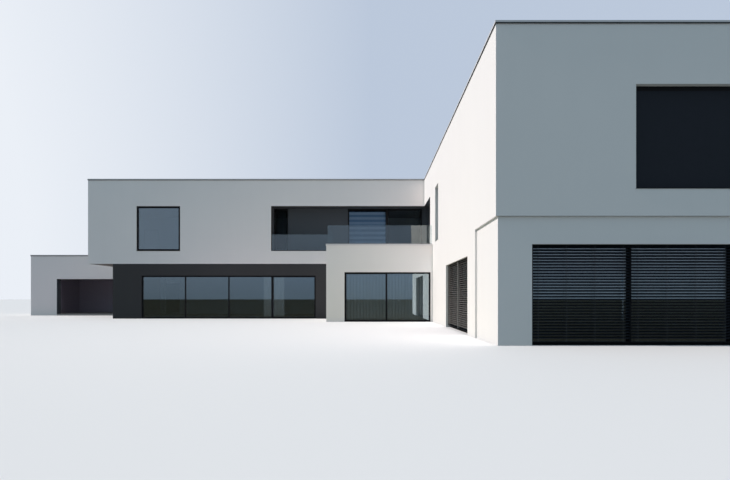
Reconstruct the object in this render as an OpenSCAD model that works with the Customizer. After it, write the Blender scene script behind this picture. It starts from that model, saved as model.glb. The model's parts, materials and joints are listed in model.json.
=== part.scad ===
// Modern detached house: a long upper storey, a two-storey wing, a garden room and a side wing.
// Units are millimetres, +Z is up and the garden front faces -Y.
// The plan is measured from the corner where the wing meets the front of the long storey.

/* [Levels] */
// Head of the ground-floor openings
ground_head = 2480; // [2200:10:2700]
// Head of the wing's wide front window and of its west French window
front_head = 2530; // [2300:10:2800]
// Underside of the long upper storey
bar_under = 3160; // [3000:10:3400]
// Underside of the wing's upper storey
ground_top = 3220; // [3050:10:3400]
// Finished upper floor and terrace deck
upper_level = 3750; // [3600:10:3850]
// Height of the upper sills and of the terrace parapet above that floor
parapet_h = 150; // [110:5:300]
// Head of the upper openings
upper_head = 6490; // [6000:10:6600]
// Underside of the main roof
roof_under = 6700; // [6640:10:6900]
// Top of the main roof covering
roof_level = 7400; // [7100:10:7700]
// Top of the main parapet with its coping
house_top = 8060; // [7800:10:8400]
// Top of the side wing with its coping
side_top = 4120; // [3900:10:4400]
// Thickness of the ground floor slab
floor_t = 100; // [60:10:200]

/* [Plan] */
// Thickness of the outer walls
wall_t = 420; // [380:10:480]
// Length of the upper storey from the wing to its free end
bar_l = 19400; // [18600:100:21000]
// Depth of the upper storey
bar_d = 10500; // [9800:100:12000]
// Overhang of the upper storey past the ground floor
overhang = 1430; // [800:10:2000]
// Reach of the wing in front of the long storey
wing_out = 16460; // [15500:20:18000]
// Setback of the wing's lower storey at its front corner
step_in = 65; // [40:5:120]
// Length of that setback along the wing's west face
step_l = 2480; // [1500:20:3500]
// Width of the garden room
garden_w = 5320; // [5100:20:6000]
// Depth of the garden room
garden_d = 3840; // [3300:20:4400]
// Reach of the side wing past the upper storey
side_l = 6800; // [5500:50:8000]
// Setback of the side wing from the long front
side_set = 5160; // [4500:20:6000]

/* [Long front] */
// Wall between the ground floor's free end and the living room glazing
living_margin = 1650; // [1200:10:2200]
// Wall between that glazing and the garden room
living_end = 950; // [600:10:1400]
// Number of panes in the living room glazing
living_panes = 4; // [3:1:6]
// Wall between the free end and the square window
square_margin = 2790; // [2000:10:4000]
// Width of the square window
square_w = 2520; // [2000:10:3000]
// Width of the loggia, from the wing
loggia_w = 8840; // [8000:20:9400]
// Depth of the loggia
loggia_d = 850; // [600:10:1400]
// Thickness of the loggia's back wall
loggia_wall_t = 300; // [240:10:400]
// Thickness of the loggia parapet
parapet_t = 150; // [130:10:200]
// Width of the narrow loggia door
loggia_door_w = 840; // [700:10:1200]
// Width of the wide loggia window
loggia_window_w = 4410; // [3800:10:4800]
// Width of its bay with the banded blind
loggia_blind_w = 2330; // [2000:10:2500]
// Wall between the wide loggia window and the wing
loggia_window_gap = 46; // [40:2:200]

/* [Wing windows] */
// Wall between the wing's corner and its wide front window
front_margin = 916; // [600:4:1200]
// Wall between that window and the wing's other corner
front_end = 636; // [600:4:1200]
// Width of each outer bay of the wide front window, to the middle of its mullion
front_side = 2498; // [2300:2:2600]
// Width of its middle bay, from mullion to mullion
front_pitch = 2546; // [2400:2:2700]
// Wall between the wing's corner and its upper front window
upper_margin = 3470; // [2800:10:4200]
// Distance of the west French window from the long front
west_door_at = 8260; // [6500:20:9500]
// Width of the west French window
west_door_w = 4560; // [3800:20:4800]
// Distance of the slot window from the long front
slot_at = 4840; // [4200:20:6500]
// Width of the slot window
slot_w = 1030; // [700:10:1400]
// Width of the terrace opening in the wing's west face
return_w = 2790; // [2200:10:3400]
// Thickness of the thin wall that closes the loggia's end
end_wall_t = 100; // [90:5:140]

/* [Garden room glazing] */
// Wall between the garden room's free corner and its glazing
garden_margin = 910; // [600:10:1000]
// Wall between that glazing and the wing
garden_end = 100; // [60:5:200]
// Distance of the mullion from that glazing's free end
garden_bay = 2110; // [1900:10:2300]

/* [Window frames] */
// Visible width of a frame
frame_w = 70; // [50:5:90]
// Visible width of the square front window's frame
square_frame_w = 100; // [60:5:120]
// Depth of a fixed frame
frame_d = 90; // [70:5:90]
// Width of a mullion
mullion_w = 100; // [60:5:120]
// Width of a slim mullion between fixed panes
slim_w = 50; // [40:5:80]
// Thickness of the insulating glass
glass_t = 40; // [24:2:44]
// Depth of a sliding door frame
slider_d = 180; // [170:5:220]
// Setback of a sliding door frame from the wall face
slider_set = 60; // [20:5:100]
// Width of a sliding leaf's stiles and rails
leaf_w = 60; // [50:5:100]
// Visible width of a sliding door frame behind its leaf
track_w = 12; // [8:2:30]
// Thickness of a sliding leaf
leaf_t = 70; // [56:2:76]
// Running clearance round a sliding leaf
leaf_gap = 8; // [6:1:12]
// Setback of the square window
square_set = 40; // [20:5:120]
// Setback of the other windows
deep_set = 170; // [155:5:200]
// Setback of the loggia windows
loggia_set = 60; // [20:5:120]

/* [Blinds and curtains] */
// Setback of the slat blinds
blind_set = 70; // [40:5:75]
// Depth of the slat blinds
blind_d = 80; // [50:5:80]
// Gap between neighbouring slat blinds
blind_gap = 4; // [4:2:40]
// Gap between a slat blind and the wall beside it
blind_side = 2; // [2:1:20]
// Gap between the upper fabric screen and the window frame
screen_gap = 5; // [2:1:20]
// Thickness of the upper fabric screen
screen_t = 20; // [10:5:20]
// Depth of a hanging curtain
curtain_d = 110; // [80:5:160]
// Gap between a curtain and the wall
curtain_gap = 60; // [30:10:120]
// Width of the gathered living room curtain
gathered_w = 1220; // [800:20:1600]
// Thickness of the banded loggia blind
banded_t = 15; // [10:1:20]

/* [Roof edge and glass rails] */
// Height of the copings
coping_h = 70; // [40:5:100]
// Overhang of the copings
coping_out = 20; // [10:2:40]
// Top of the glass rails
rail_top = 4865; // [4800:5:5000]
// Thickness of the glass rails
rail_t = 20; // [16:1:24]
// Setback of the front glass rail on the terrace
rail_front_set = 300; // [100:10:340]
// Setback of the side glass rail on the terrace
rail_side_set = 50; // [40:5:120]
// Setback of the loggia's glass rail
rail_loggia_set = 100; // [40:5:105]

/* [Side wing] */
// Width of the wall beside the covered terrace
side_pier_w = 1760; // [1200:20:2400]
// Underside of the side wing's roof
side_roof_under = 2600; // [2560:10:2800]
// Top of the side wing's roof covering
side_roof_level = 3650; // [3400:10:3750]
// Thickness of the dark lining of the covered terrace
lining_t = 30; // [20:2:60]

/* [Inner walls] */
// Thickness of the inner walls
inner_t = 120; // [80:10:200]
// Distance of the long inner wall from the long front
inner_at = 5600; // [4500:50:6500]
// Distance of the wing's cross wall from the long front
cross_at = 7980; // [6000:20:8200]
// Width of the inner doorways
inner_door_w = 1000; // [800:50:1400]
// Height of the inner doorways
inner_door_h = 2110; // [2000:10:2300]
// Wall between an inner doorway and the nearest corner
door_end = 300; // [150:50:600]

/* [Rear and east sides] */
// Wall between the corners and the nearest windows
rear_margin = 2200; // [1600:50:2800]
// Spacing of the square windows in the upper rear wall
rear_square_pitch = 6000; // [5000:50:6500]
// Spacing of the wide windows in the lower rear wall
rear_wide_pitch = 7500; // [6200:50:8500]
// Spacing of the square windows in the upper east wall
east_square_pitch = 6500; // [5000:50:7000]
// Spacing of the French windows in the lower east wall
east_door_pitch = 8700; // [7000:50:9000]

/* [Hidden] */

// Extra length of a cutting solid past each face
cut = 10;

// Derived sizes
main_l = bar_l - overhang;
living_w = main_l - living_margin - living_end - garden_w;
garden_glazing_w = garden_w - garden_margin - garden_end;
upper_sill = upper_level + parapet_h;
front_window_w = 2 * front_side + front_pitch;
wing_w = front_margin + front_window_w + front_end;
upper_window_w = front_margin + front_window_w - upper_margin;
screen_set = deep_set - screen_gap - screen_t;
wall_top = house_top - coping_h;
upper_h = upper_head - upper_sill;
side_wall_top = side_top - coping_h;
side_left = -bar_l - side_l;
lower_front = -wing_out + step_in;
living_pitch = living_w / living_panes;
slider_back = slider_set + slider_d;
fixed_d = slider_d / 2 - leaf_gap;

// Centre of the plan, which is the origin of the model
mid_x = (side_left + wing_w) / 2;
mid_y = (bar_d - wing_out) / 2;

// Walls that carry windows, each as [x, y, turn]: its left end seen from outside
long_face = [-main_l, 0, 0];
bar_face = [-bar_l, 0, 0];
loggia_face = [-loggia_w, loggia_d, 0];
garden_face = [-garden_w, -garden_d, 0];
wing_face = [0, -wing_out, 0];
wing_low_face = [0, lower_front, 0];
west_face = [0, 0, -90];
east_face = [wing_w, -wing_out, 90];
rear_face = [wing_w, bar_d, 180];

// Windows, each as [face, distance along it, sill, width, height, panes, setback]
// The wide front window gives the middles of its mullions for its panes
// Two windows end with a frame width and a mullion width of their own
wide_w = 2 * living_pitch;
return_set = wall_t - end_wall_t;
front_posts = [front_side, front_side + front_pitch];
front_window = [
    wing_low_face, front_margin, 0, front_window_w, front_head, front_posts, deep_set, frame_w, slim_w
];
west_door = [west_face, west_door_at, 0, west_door_w, front_head, 2, deep_set];
upper_window = [wing_face, upper_margin, upper_sill, upper_window_w, upper_h, 2, deep_set];
slot_window = [west_face, slot_at, upper_sill, slot_w, upper_h, 1, deep_set];
return_window = [west_face, 0, upper_level, return_w, upper_head - upper_level, 2, return_set];
square_window = [
    bar_face, square_margin, upper_sill, square_w, upper_h, 1, square_set, square_frame_w, mullion_w
];
loggia_door = [loggia_face, 0, upper_level, loggia_door_w, upper_head - upper_level, 1, loggia_set];
loggia_at = loggia_w - loggia_window_gap - loggia_window_w;
loggia_window = [
    loggia_face, loggia_at, upper_level, loggia_window_w, upper_head - upper_level, 2, loggia_set
];
loggia_bays = [
    [loggia_face, loggia_at, upper_level, loggia_blind_w, upper_head - upper_level, 1, loggia_set],
    [
        loggia_face, loggia_at + loggia_blind_w, upper_level,
        loggia_window_w - loggia_blind_w, upper_head - upper_level, 1, loggia_set
    ]
];
east_ground = [
    for (i = [1, 2])
        [east_face, rear_margin + i * east_door_pitch, 0, west_door_w, ground_head, 2, deep_set]
];
east_upper = [
    for (i = [0 : 3])
        [east_face, rear_margin + i * east_square_pitch, upper_sill, square_w, upper_h, 1, deep_set]
];
wing_rear = [
    [rear_face, rear_margin, 0, west_door_w, ground_head, 2, deep_set],
    [rear_face, rear_margin, upper_sill, west_door_w, upper_h, 2, deep_set]
];
main_rear = [
    for (i = [0, 1])
        [rear_face, wing_w + rear_margin + i * rear_wide_pitch, 0, wide_w, ground_head, 2, deep_set]
];
bar_rear = [
    for (i = [0 : 2])
        [
            rear_face, wing_w + rear_margin + i * rear_square_pitch, upper_sill,
            square_w, upper_h, 1, deep_set
        ]
];
ground_windows = concat([front_window, west_door], east_ground, [wing_rear[0]], main_rear);
upper_windows = concat(
    [upper_window, slot_window, return_window, square_window, loggia_door],
    loggia_bays, east_upper, [wing_rear[1]], bar_rear
);

// Frame and mullion width of a window
function side_w(window) = len(window) > 7 ? window[7] : frame_w;
function post_w(window) = len(window) > 7 ? window[8] : mullion_w;

// Middles of a window's mullions
function posts(window) = is_list(window[5]) ? window[5] : window[5] == 1 ? [] : [
    for (i = [1 : window[5] - 1])
        side_w(window) - post_w(window) / 2
            + i * (window[3] - 2 * side_w(window) + post_w(window)) / window[5]
];

// Spans between a window's mullions, less half a post of that width, and its sides
function spans(window, side, post) = [
    for (i = [0 : len(posts(window))])
        [
            i == 0 ? side : posts(window)[i - 1] + post / 2,
            i == len(posts(window)) ? window[3] - side : posts(window)[i] - post / 2
        ]
];

// Outline of the two-storey plan, grown by d
function main_outline(d) = [
    [-bar_l - d, -d], [-d, -d], [-d, -wing_out - d],
    [wing_w + d, -wing_out - d], [wing_w + d, bar_d + d], [-bar_l - d, bar_d + d]
];

// Box between three ranges
module block(x, y, z) {
    translate([x[0], y[0], z[0]])
        cube([x[1] - x[0], y[1] - y[0], z[1] - z[0]]);
}

// Puts the plan's centre at the origin
module house() {
    translate([-mid_x, -mid_y, 0])
        children();
}

// Local frame of a wall: X along it, Y inwards, Z up
module on_face(face) {
    translate([face[0], face[1], 0])
        rotate([0, 0, face[2]])
            children();
}

// Hole of a window through its wall
module window_hole(window) {
    on_face(window[0])
        block(
            [window[1], window[1] + window[3]],
            [-cut, wall_t + cut],
            [window[2], window[2] + window[4]]
        );
}

// Outer frame with its mullions
module window_frame(window) {
    side = side_w(window);
    on_face(window[0])
        translate([window[1], window[6], window[2]])
            difference() {
                cube([window[3], frame_d, window[4]]);
                for (span = spans(window, side, post_w(window)))
                    block(span, [-cut, frame_d + cut], [side, window[4] - side]);
            }
}

// Glass panes of a window
module window_glass(window) {
    side = side_w(window);
    glass_y = (frame_d - glass_t) / 2;
    on_face(window[0])
        translate([window[1], window[6], window[2]])
            for (span = spans(window, side, post_w(window)))
                block(span, [glass_y, glass_y + glass_t], [side, window[4] - side]);
}

// Floor strip in an opening, from the back of its frame to the wall's inner face
module threshold(face, at, width, back) {
    on_face(face)
        block([at, at + width], [back, wall_t + cut], [0, floor_t]);
}

// Slat blinds hung in front of each pane of a window
module window_blinds(window) {
    on_face(window[0])
        translate([window[1], blind_set, window[2]])
            for (span = spans(window, blind_side, blind_gap))
                block(span, [0, blind_d], [frame_w, window[4]]);
}

// Sliding door opening: a frame that is thinner behind the leaf, mullions at the given distances
module slider_frame(width, mullions) {
    difference() {
        cube([width, slider_d, ground_head]);
        block([frame_w, width - frame_w], [-cut, slider_d + cut], [frame_w, ground_head - frame_w]);
        block([track_w, width - track_w], [fixed_d, slider_d + cut], [track_w, ground_head - track_w]);
    }
    for (m = mullions)
        block([m[0] - m[1] / 2, m[0] + m[1] / 2], [0, fixed_d], [frame_w, ground_head - frame_w]);
}

// Sliding leaf between two distances along its frame
module slider_leaf(from, to) {
    low = track_w + leaf_gap;
    high = ground_head - track_w - leaf_gap;
    back = slider_d - leaf_gap;
    difference() {
        block([from, to], [back - leaf_t, back], [low, high]);
        block(
            [from + leaf_w, to - leaf_w],
            [back - leaf_t - cut, back + cut],
            [low + leaf_w, high - leaf_w]
        );
    }
}

// Glass of that leaf
module slider_leaf_glass(from, to) {
    low = track_w + leaf_gap + leaf_w;
    high = ground_head - track_w - leaf_gap - leaf_w;
    middle = slider_d - leaf_gap - leaf_t / 2;
    block([from + leaf_w, to - leaf_w], [middle - glass_t / 2, middle + glass_t / 2], [low, high]);
}

// Fixed pane in the outer track
module slider_pane(from, to) {
    glass_y = (fixed_d - glass_t) / 2;
    block([from, to], [glass_y, glass_y + glass_t], [frame_w, ground_head - frame_w]);
}

// Places in the living room glazing
living_door_from = living_w - living_pitch - mullion_w / 2;
living_door_to = living_w - track_w - leaf_gap;
module at_living() {
    on_face(long_face)
        translate([living_margin, slider_set, 0])
            children();
}

// Places in the garden room glazing
garden_door_from = track_w + leaf_gap;
garden_door_to = garden_bay + slim_w / 2;
module at_garden() {
    on_face(garden_face)
        translate([garden_margin, slider_set, 0])
            children();
}

module ground_floor() {
    color("silver")
        house() {
            linear_extrude(floor_t)
                polygon([
                    [-main_l + wall_t, wall_t], [-garden_w + wall_t, wall_t],
                    [-garden_w + wall_t, -garden_d + wall_t], [0, -garden_d + wall_t],
                    [0, wall_t], [wall_t, wall_t], [wall_t, lower_front + wall_t],
                    [wing_w - wall_t, lower_front + wall_t], [wing_w - wall_t, bar_d - wall_t],
                    [-main_l + wall_t, bar_d - wall_t]
                ]);
            threshold(long_face, living_margin, living_w, slider_back);
            threshold(garden_face, garden_margin, garden_glazing_w, slider_back);
            for (window = ground_windows)
                threshold(window[0], window[1], window[3], window[6] + frame_d);
        }
}

module side_floor() {
    inner = side_left + wall_t;
    front = side_set + wall_t;
    color("silver")
        house()
            linear_extrude(floor_t)
                polygon([
                    [inner, front], [side_left + side_pier_w, front],
                    [side_left + side_pier_w, side_set], [-main_l, side_set],
                    [-main_l, bar_d - wall_t], [inner, bar_d - wall_t]
                ]);
}

// Part of the upper floor slab: its outline and underside
module upper_slab(outline, under) {
    translate([0, 0, under])
        linear_extrude(upper_level - under)
            polygon(outline);
}

module upper_floor() {
    long_part = [
        [-bar_l + wall_t, wall_t], [-loggia_w, wall_t], [-loggia_w, parapet_t],
        [-garden_w, parapet_t], [-garden_w, 0], [0, 0], [0, wall_t], [wall_t, wall_t],
        [wall_t, bar_d - wall_t], [-bar_l + wall_t, bar_d - wall_t]
    ];
    wing_part = [
        [wall_t, -wing_out + wall_t], [wing_w - wall_t, -wing_out + wall_t],
        [wing_w - wall_t, bar_d - wall_t], [wall_t, bar_d - wall_t],
        [wall_t, wall_t], [0, wall_t], [0, 0], [wall_t, 0]
    ];
    color("silver")
        house() {
            upper_slab(long_part, bar_under);
            upper_slab(wing_part, ground_top);
        }
}

module main_roof() {
    color("gray")
        house()
            translate([0, 0, roof_under])
                linear_extrude(roof_level - roof_under)
                    polygon(main_outline(-wall_t));
}

module garden_roof() {
    color("gray")
        house()
            block(
                [-garden_w + wall_t, 0],
                [-garden_d + wall_t, 0],
                [ground_top, upper_level]
            );
}

module side_roof() {
    color("gray")
        house() {
            block(
                [side_left + wall_t, -main_l],
                [side_set + wall_t, bar_d - wall_t],
                [side_roof_under, bar_under]
            );
            block(
                [side_left + wall_t, -bar_l],
                [side_set + wall_t, bar_d - wall_t],
                [bar_under, side_roof_level]
            );
        }
}

module living_piers() {
    color("dimgray")
        house() {
            block([-main_l, -main_l + living_margin], [0, wall_t], [0, bar_under]);
            block([-main_l + living_margin + living_w, -garden_w + wall_t], [0, wall_t], [0, bar_under]);
        }
}

module living_lintel() {
    start = -main_l + living_margin;
    color("dimgray")
        house()
            block([start, start + living_w], [0, wall_t], [ground_head, bar_under]);
}

module main_left_wall() {
    color("dimgray")
        house()
            block([-main_l, -main_l + wall_t], [wall_t, bar_d - wall_t], [0, bar_under]);
}

module main_rear_wall() {
    color("dimgray")
        house()
            difference() {
                block([-main_l, 0], [bar_d - wall_t, bar_d], [0, bar_under]);
                for (window = main_rear)
                    window_hole(window);
            }
}

module wing_front_lower_wall() {
    color("white")
        house()
            difference() {
                block([step_in, wing_w - step_in], [lower_front, lower_front + wall_t], [0, ground_top]);
                window_hole(front_window);
            }
}

module wing_west_lower_wall() {
    step_end = -wing_out + step_l;
    color("white")
        house()
            difference() {
                block([0, wall_t], [lower_front + wall_t, wall_t], [0, ground_top]);
                block([-cut, step_in], [lower_front, step_end], [-cut, ground_top + cut]);
                window_hole(west_door);
            }
}

module wing_east_wall() {
    step_end = -wing_out + step_l;
    color("white")
        house()
            difference() {
                block([wing_w - wall_t, wing_w], [-wing_out + wall_t, bar_d - wall_t], [0, wall_top]);
                block([wing_w - step_in, wing_w + cut], [-wing_out, step_end], [-cut, ground_top]);
                block(
                    [wing_w - wall_t - cut, wing_w + cut],
                    [-wing_out + wall_t - cut, lower_front + wall_t],
                    [-cut, ground_top]
                );
                for (window = concat(east_ground, east_upper))
                    window_hole(window);
            }
}

module wing_rear_wall() {
    color("white")
        house()
            difference() {
                block([0, wing_w], [bar_d - wall_t, bar_d], [0, wall_top]);
                for (window = wing_rear)
                    window_hole(window);
            }
}

module garden_piers() {
    color("white")
        house() {
            block([-garden_w, -garden_w + garden_margin], [-garden_d, -garden_d + wall_t], [0, ground_top]);
            block(
                [-garden_w + garden_margin + garden_glazing_w, 0],
                [-garden_d, -garden_d + wall_t],
                [0, ground_head]
            );
        }
}

module garden_lintel() {
    color("white")
        house()
            difference() {
                block(
                    [-garden_w, 0],
                    [-garden_d, -garden_d + wall_t],
                    [ground_head, upper_sill - coping_h]
                );
                block(
                    [-garden_w - cut, -garden_w + garden_margin],
                    [-garden_d - cut, -garden_d + wall_t + cut],
                    [ground_head - cut, ground_top]
                );
            }
}

module garden_side_wall() {
    color("white")
        house()
            block([-garden_w, -garden_w + wall_t], [-garden_d + wall_t, 0], [0, upper_sill - coping_h]);
}

module side_front_wall() {
    pier_end = side_left + side_pier_w;
    color("white")
        house() {
            block([side_left, pier_end], [side_set, side_set + wall_t], [0, side_wall_top]);
            block([pier_end, -bar_l], [side_set, side_set + wall_t], [ground_head, side_wall_top]);
            block([-bar_l, -main_l], [side_set, side_set + wall_t], [ground_head, bar_under]);
        }
}

module side_outer_walls() {
    color("white")
        house() {
            block(
                [side_left, side_left + wall_t],
                [side_set + wall_t, bar_d],
                [0, side_wall_top]
            );
            block([side_left + wall_t, -bar_l], [bar_d - wall_t, bar_d], [0, side_wall_top]);
            block([-bar_l, -main_l], [bar_d - wall_t, bar_d], [0, bar_under]);
        }
}

module side_lining() {
    left = side_left + wall_t;
    pier_end = side_left + side_pier_w;
    front = side_set + wall_t;
    back = bar_d - wall_t;
    t = lining_t;
    color("dimgray")
        house() {
            translate([0, 0, floor_t])
                linear_extrude(side_roof_under - t - floor_t)
                    polygon([
                        [left, front], [pier_end + t, front], [pier_end + t, front + t],
                        [left + t, front + t], [left + t, back - t], [-main_l, back - t],
                        [-main_l, back], [left, back]
                    ]);
            block([pier_end, pier_end + t], [side_set, front], [floor_t, ground_head]);
            block([left, -main_l], [front, back], [side_roof_under - t, side_roof_under]);
        }
}

// Inner walls of a storey: free end, start beside the wing, floor, ceilings of the long part and wing
module storey_walls(left, start, low, high, wing_high) {
    door_top = low + inner_door_h;
    end = bar_d - wall_t;
    difference() {
        union() {
            block([left, wall_t], [inner_at, inner_at + inner_t], [low, high]);
            block([wall_t - inner_t, wall_t], [start, end], [low, high]);
            block([wall_t, wing_w - wall_t], [-cross_at, inner_t - cross_at], [low, wing_high]);
        }
        block(
            [left + door_end, left + door_end + inner_door_w],
            [inner_at - cut, inner_at + inner_t + cut],
            [low - cut, door_top]
        );
        block(
            [wall_t - inner_t - cut, wall_t + cut],
            [inner_at - door_end - inner_door_w, inner_at - door_end],
            [low - cut, door_top]
        );
        block(
            [wing_w - wall_t - door_end - inner_door_w, wing_w - wall_t - door_end],
            [-cross_at - cut, inner_t - cross_at + cut],
            [low - cut, door_top]
        );
    }
}

module inner_walls() {
    color("white")
        house() {
            storey_walls(-main_l + wall_t, wall_t, floor_t, bar_under, ground_top);
            storey_walls(
                -bar_l + wall_t, loggia_d + loggia_wall_t, upper_level, roof_under, roof_under
            );
        }
}

module bar_front_wall() {
    color("white")
        house()
            difference() {
                block([-bar_l, wall_t], [0, wall_t], [bar_under, wall_top]);
                block([-loggia_w, wall_t + cut], [-cut, wall_t + cut], [bar_under - cut, upper_head]);
                window_hole(square_window);
            }
}

module bar_left_wall() {
    color("white")
        house()
            block([-bar_l, -bar_l + wall_t], [wall_t, bar_d - wall_t], [bar_under, wall_top]);
}

module bar_rear_wall() {
    color("white")
        house()
            difference() {
                block([-bar_l, 0], [bar_d - wall_t, bar_d], [bar_under, wall_top]);
                for (window = bar_rear)
                    window_hole(window);
            }
}

module wing_front_upper_wall() {
    color("white")
        house()
            difference() {
                block([0, wing_w], [-wing_out, -wing_out + wall_t], [ground_top, wall_top]);
                window_hole(upper_window);
            }
}

module wing_west_upper_wall() {
    color("white")
        house()
            difference() {
                block([0, wall_t], [-wing_out + wall_t, 0], [ground_top, wall_top]);
                window_hole(slot_window);
                block([-cut, wall_t + cut], [-return_w, cut], [upper_level, upper_head]);
            }
}

module loggia_parapet() {
    color("white")
        house()
            block([-loggia_w, -garden_w], [0, parapet_t], [bar_under, upper_sill]);
}

module loggia_back_wall() {
    color("dimgray")
        house()
            difference() {
                union() {
                    block(
                        [-loggia_w, wall_t],
                        [loggia_d, loggia_d + loggia_wall_t],
                        [upper_level, roof_under]
                    );
                    block([return_set, wall_t], [0, loggia_d + cut], [upper_level, upper_head]);
                    block(
                        [-loggia_w - loggia_wall_t, -loggia_w],
                        [wall_t, loggia_d + loggia_wall_t],
                        [upper_level, roof_under]
                    );
                }
                window_hole(loggia_door);
                window_hole(loggia_window);
            }
}

module loggia_ceiling() {
    color("dimgray")
        house()
            block([-loggia_w, wall_t], [wall_t, loggia_d], [upper_head, roof_under]);
}

module copings() {
    strip = wall_t + coping_out;
    color("lightgray")
        house() {
            translate([0, 0, wall_top])
                linear_extrude(coping_h)
                    difference() {
                        polygon(main_outline(coping_out));
                        polygon(main_outline(-strip));
                    }
            difference() {
                block(
                    [-garden_w - coping_out, 0],
                    [-garden_d - coping_out, 0],
                    [upper_sill - coping_h, upper_sill]
                );
                block(
                    [-garden_w + strip, cut],
                    [-garden_d + strip, cut],
                    [upper_sill - coping_h - cut, upper_sill + cut]
                );
            }
            difference() {
                block(
                    [side_left - coping_out, -bar_l],
                    [side_set - coping_out, bar_d + coping_out],
                    [side_wall_top, side_top]
                );
                block(
                    [side_left + strip, -bar_l + cut],
                    [side_set + strip, bar_d - strip],
                    [side_wall_top - cut, side_top + cut]
                );
            }
        }
}

module glass_rails() {
    front = -garden_d + rail_front_set;
    side = -garden_w + rail_side_set;
    color("lightblue")
        house() {
            block([side, 0], [front, front + rail_t], [upper_sill, rail_top]);
            block(
                [side, side + rail_t],
                [front + rail_t, rail_loggia_set + rail_t],
                [upper_sill, rail_top]
            );
            block([-loggia_w, side], [rail_loggia_set, rail_loggia_set + rail_t], [upper_sill, rail_top]);
        }
}

module living_frame() {
    fixed = [for (i = [1 : living_panes - 2]) [i * living_pitch, slim_w]];
    color("black")
        house()
            at_living()
                slider_frame(living_w, concat(fixed, [[living_w - living_pitch, mullion_w]]));
}

module living_leaf() {
    color("black")
        house()
            at_living()
                slider_leaf(living_door_from, living_door_to);
}

module living_leaf_glass() {
    color("lightblue")
        house()
            at_living()
                slider_leaf_glass(living_door_from, living_door_to);
}

module garden_frame() {
    color("black")
        house()
            at_garden()
                slider_frame(garden_glazing_w, [[garden_bay, slim_w]]);
}

module garden_leaf() {
    color("black")
        house()
            at_garden()
                slider_leaf(garden_door_from, garden_door_to);
}

module garden_leaf_glass() {
    color("lightblue")
        house()
            at_garden()
                slider_leaf_glass(garden_door_from, garden_door_to);
}

module ground_frames() {
    color("black")
        house()
            for (window = ground_windows)
                window_frame(window);
}

module upper_frames() {
    color("black")
        house()
            for (window = upper_windows)
                window_frame(window);
}

module ground_glass() {
    color("lightblue")
        house() {
            for (window = ground_windows)
                window_glass(window);
            at_living()
                for (i = [0 : living_panes - 2])
                    slider_pane(
                        i == 0 ? frame_w : i * living_pitch + slim_w / 2,
                        (i + 1) * living_pitch - (i == living_panes - 2 ? mullion_w : slim_w) / 2
                    );
            at_garden()
                slider_pane(garden_bay + slim_w / 2, garden_glazing_w - frame_w);
        }
}

module upper_glass() {
    color("lightblue")
        house()
            for (window = upper_windows)
                window_glass(window);
}

module slat_blinds() {
    color("darkslategray")
        house() {
            window_blinds(front_window);
            window_blinds(west_door);
        }
}

module upper_screen() {
    color("darkslategray")
        house()
            on_face(wing_face)
                block(
                    [upper_margin, upper_margin + upper_window_w],
                    [screen_set, screen_set + screen_t],
                    [upper_sill, upper_head]
                );
}

module banded_blind() {
    pane = loggia_blind_w - 2 * frame_w;
    back = loggia_set + frame_d;
    drop = upper_head - upper_level - frame_w;
    color("lightsteelblue")
        house()
            on_face(loggia_face)
                translate([loggia_at + frame_w, 0, upper_level])
                    block([0, pane], [back - banded_t, back], [frame_w, drop]);
}

module curtains() {
    front = wall_t + curtain_gap;
    color("whitesmoke")
        house() {
            on_face(long_face)
                translate([living_margin + living_w - living_pitch - gathered_w / 2, front, floor_t])
                    cube([gathered_w, curtain_d, bar_under - floor_t]);
            on_face(garden_face)
                translate([garden_margin, front, floor_t])
                    cube([garden_glazing_w, curtain_d, ground_top - floor_t]);
        }
}

ground_floor();
side_floor();
upper_floor();
main_roof();
garden_roof();
side_roof();
living_piers();
living_lintel();
main_left_wall();
main_rear_wall();
wing_front_lower_wall();
wing_west_lower_wall();
wing_east_wall();
wing_rear_wall();
garden_piers();
garden_lintel();
garden_side_wall();
side_front_wall();
side_outer_walls();
side_lining();
inner_walls();
bar_front_wall();
bar_left_wall();
bar_rear_wall();
wing_front_upper_wall();
wing_west_upper_wall();
loggia_parapet();
loggia_back_wall();
loggia_ceiling();
copings();
glass_rails();
living_frame();
living_leaf();
living_leaf_glass();
garden_frame();
garden_leaf();
garden_leaf_glass();
ground_frames();
upper_frames();
ground_glass();
upper_glass();
slat_blinds();
upper_screen();
banded_blind();
curtains();
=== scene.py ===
"""Looks of a modern detached house: finishes, window trim, blinds, curtains, sills and terrace fittings."""

import json
import logging
import math
from dataclasses import dataclass, field
from enum import Enum
from typing import Iterable

import bmesh
import bpy
from mathutils import Matrix, Vector


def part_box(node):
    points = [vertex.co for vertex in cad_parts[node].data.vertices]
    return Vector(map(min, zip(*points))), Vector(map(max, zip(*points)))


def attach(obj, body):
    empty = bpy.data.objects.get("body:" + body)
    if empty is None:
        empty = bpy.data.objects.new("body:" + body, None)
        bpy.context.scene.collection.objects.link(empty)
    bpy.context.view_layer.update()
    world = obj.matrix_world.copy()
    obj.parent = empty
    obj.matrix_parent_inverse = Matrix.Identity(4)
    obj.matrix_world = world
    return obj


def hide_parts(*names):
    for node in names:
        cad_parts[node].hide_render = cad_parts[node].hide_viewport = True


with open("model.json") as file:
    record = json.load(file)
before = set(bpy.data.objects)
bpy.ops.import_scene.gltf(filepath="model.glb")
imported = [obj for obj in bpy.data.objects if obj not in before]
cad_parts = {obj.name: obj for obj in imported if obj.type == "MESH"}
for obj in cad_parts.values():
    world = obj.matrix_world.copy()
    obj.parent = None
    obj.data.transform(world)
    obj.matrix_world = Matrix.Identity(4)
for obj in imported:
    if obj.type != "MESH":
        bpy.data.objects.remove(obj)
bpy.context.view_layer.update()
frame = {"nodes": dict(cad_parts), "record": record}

log = logging.getLogger("house")

WELD = 0.0002
HOUSE = "house"
MIX_FIRST = 6
MIX_SECOND = 7
MIX_RESULT = 2

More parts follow.
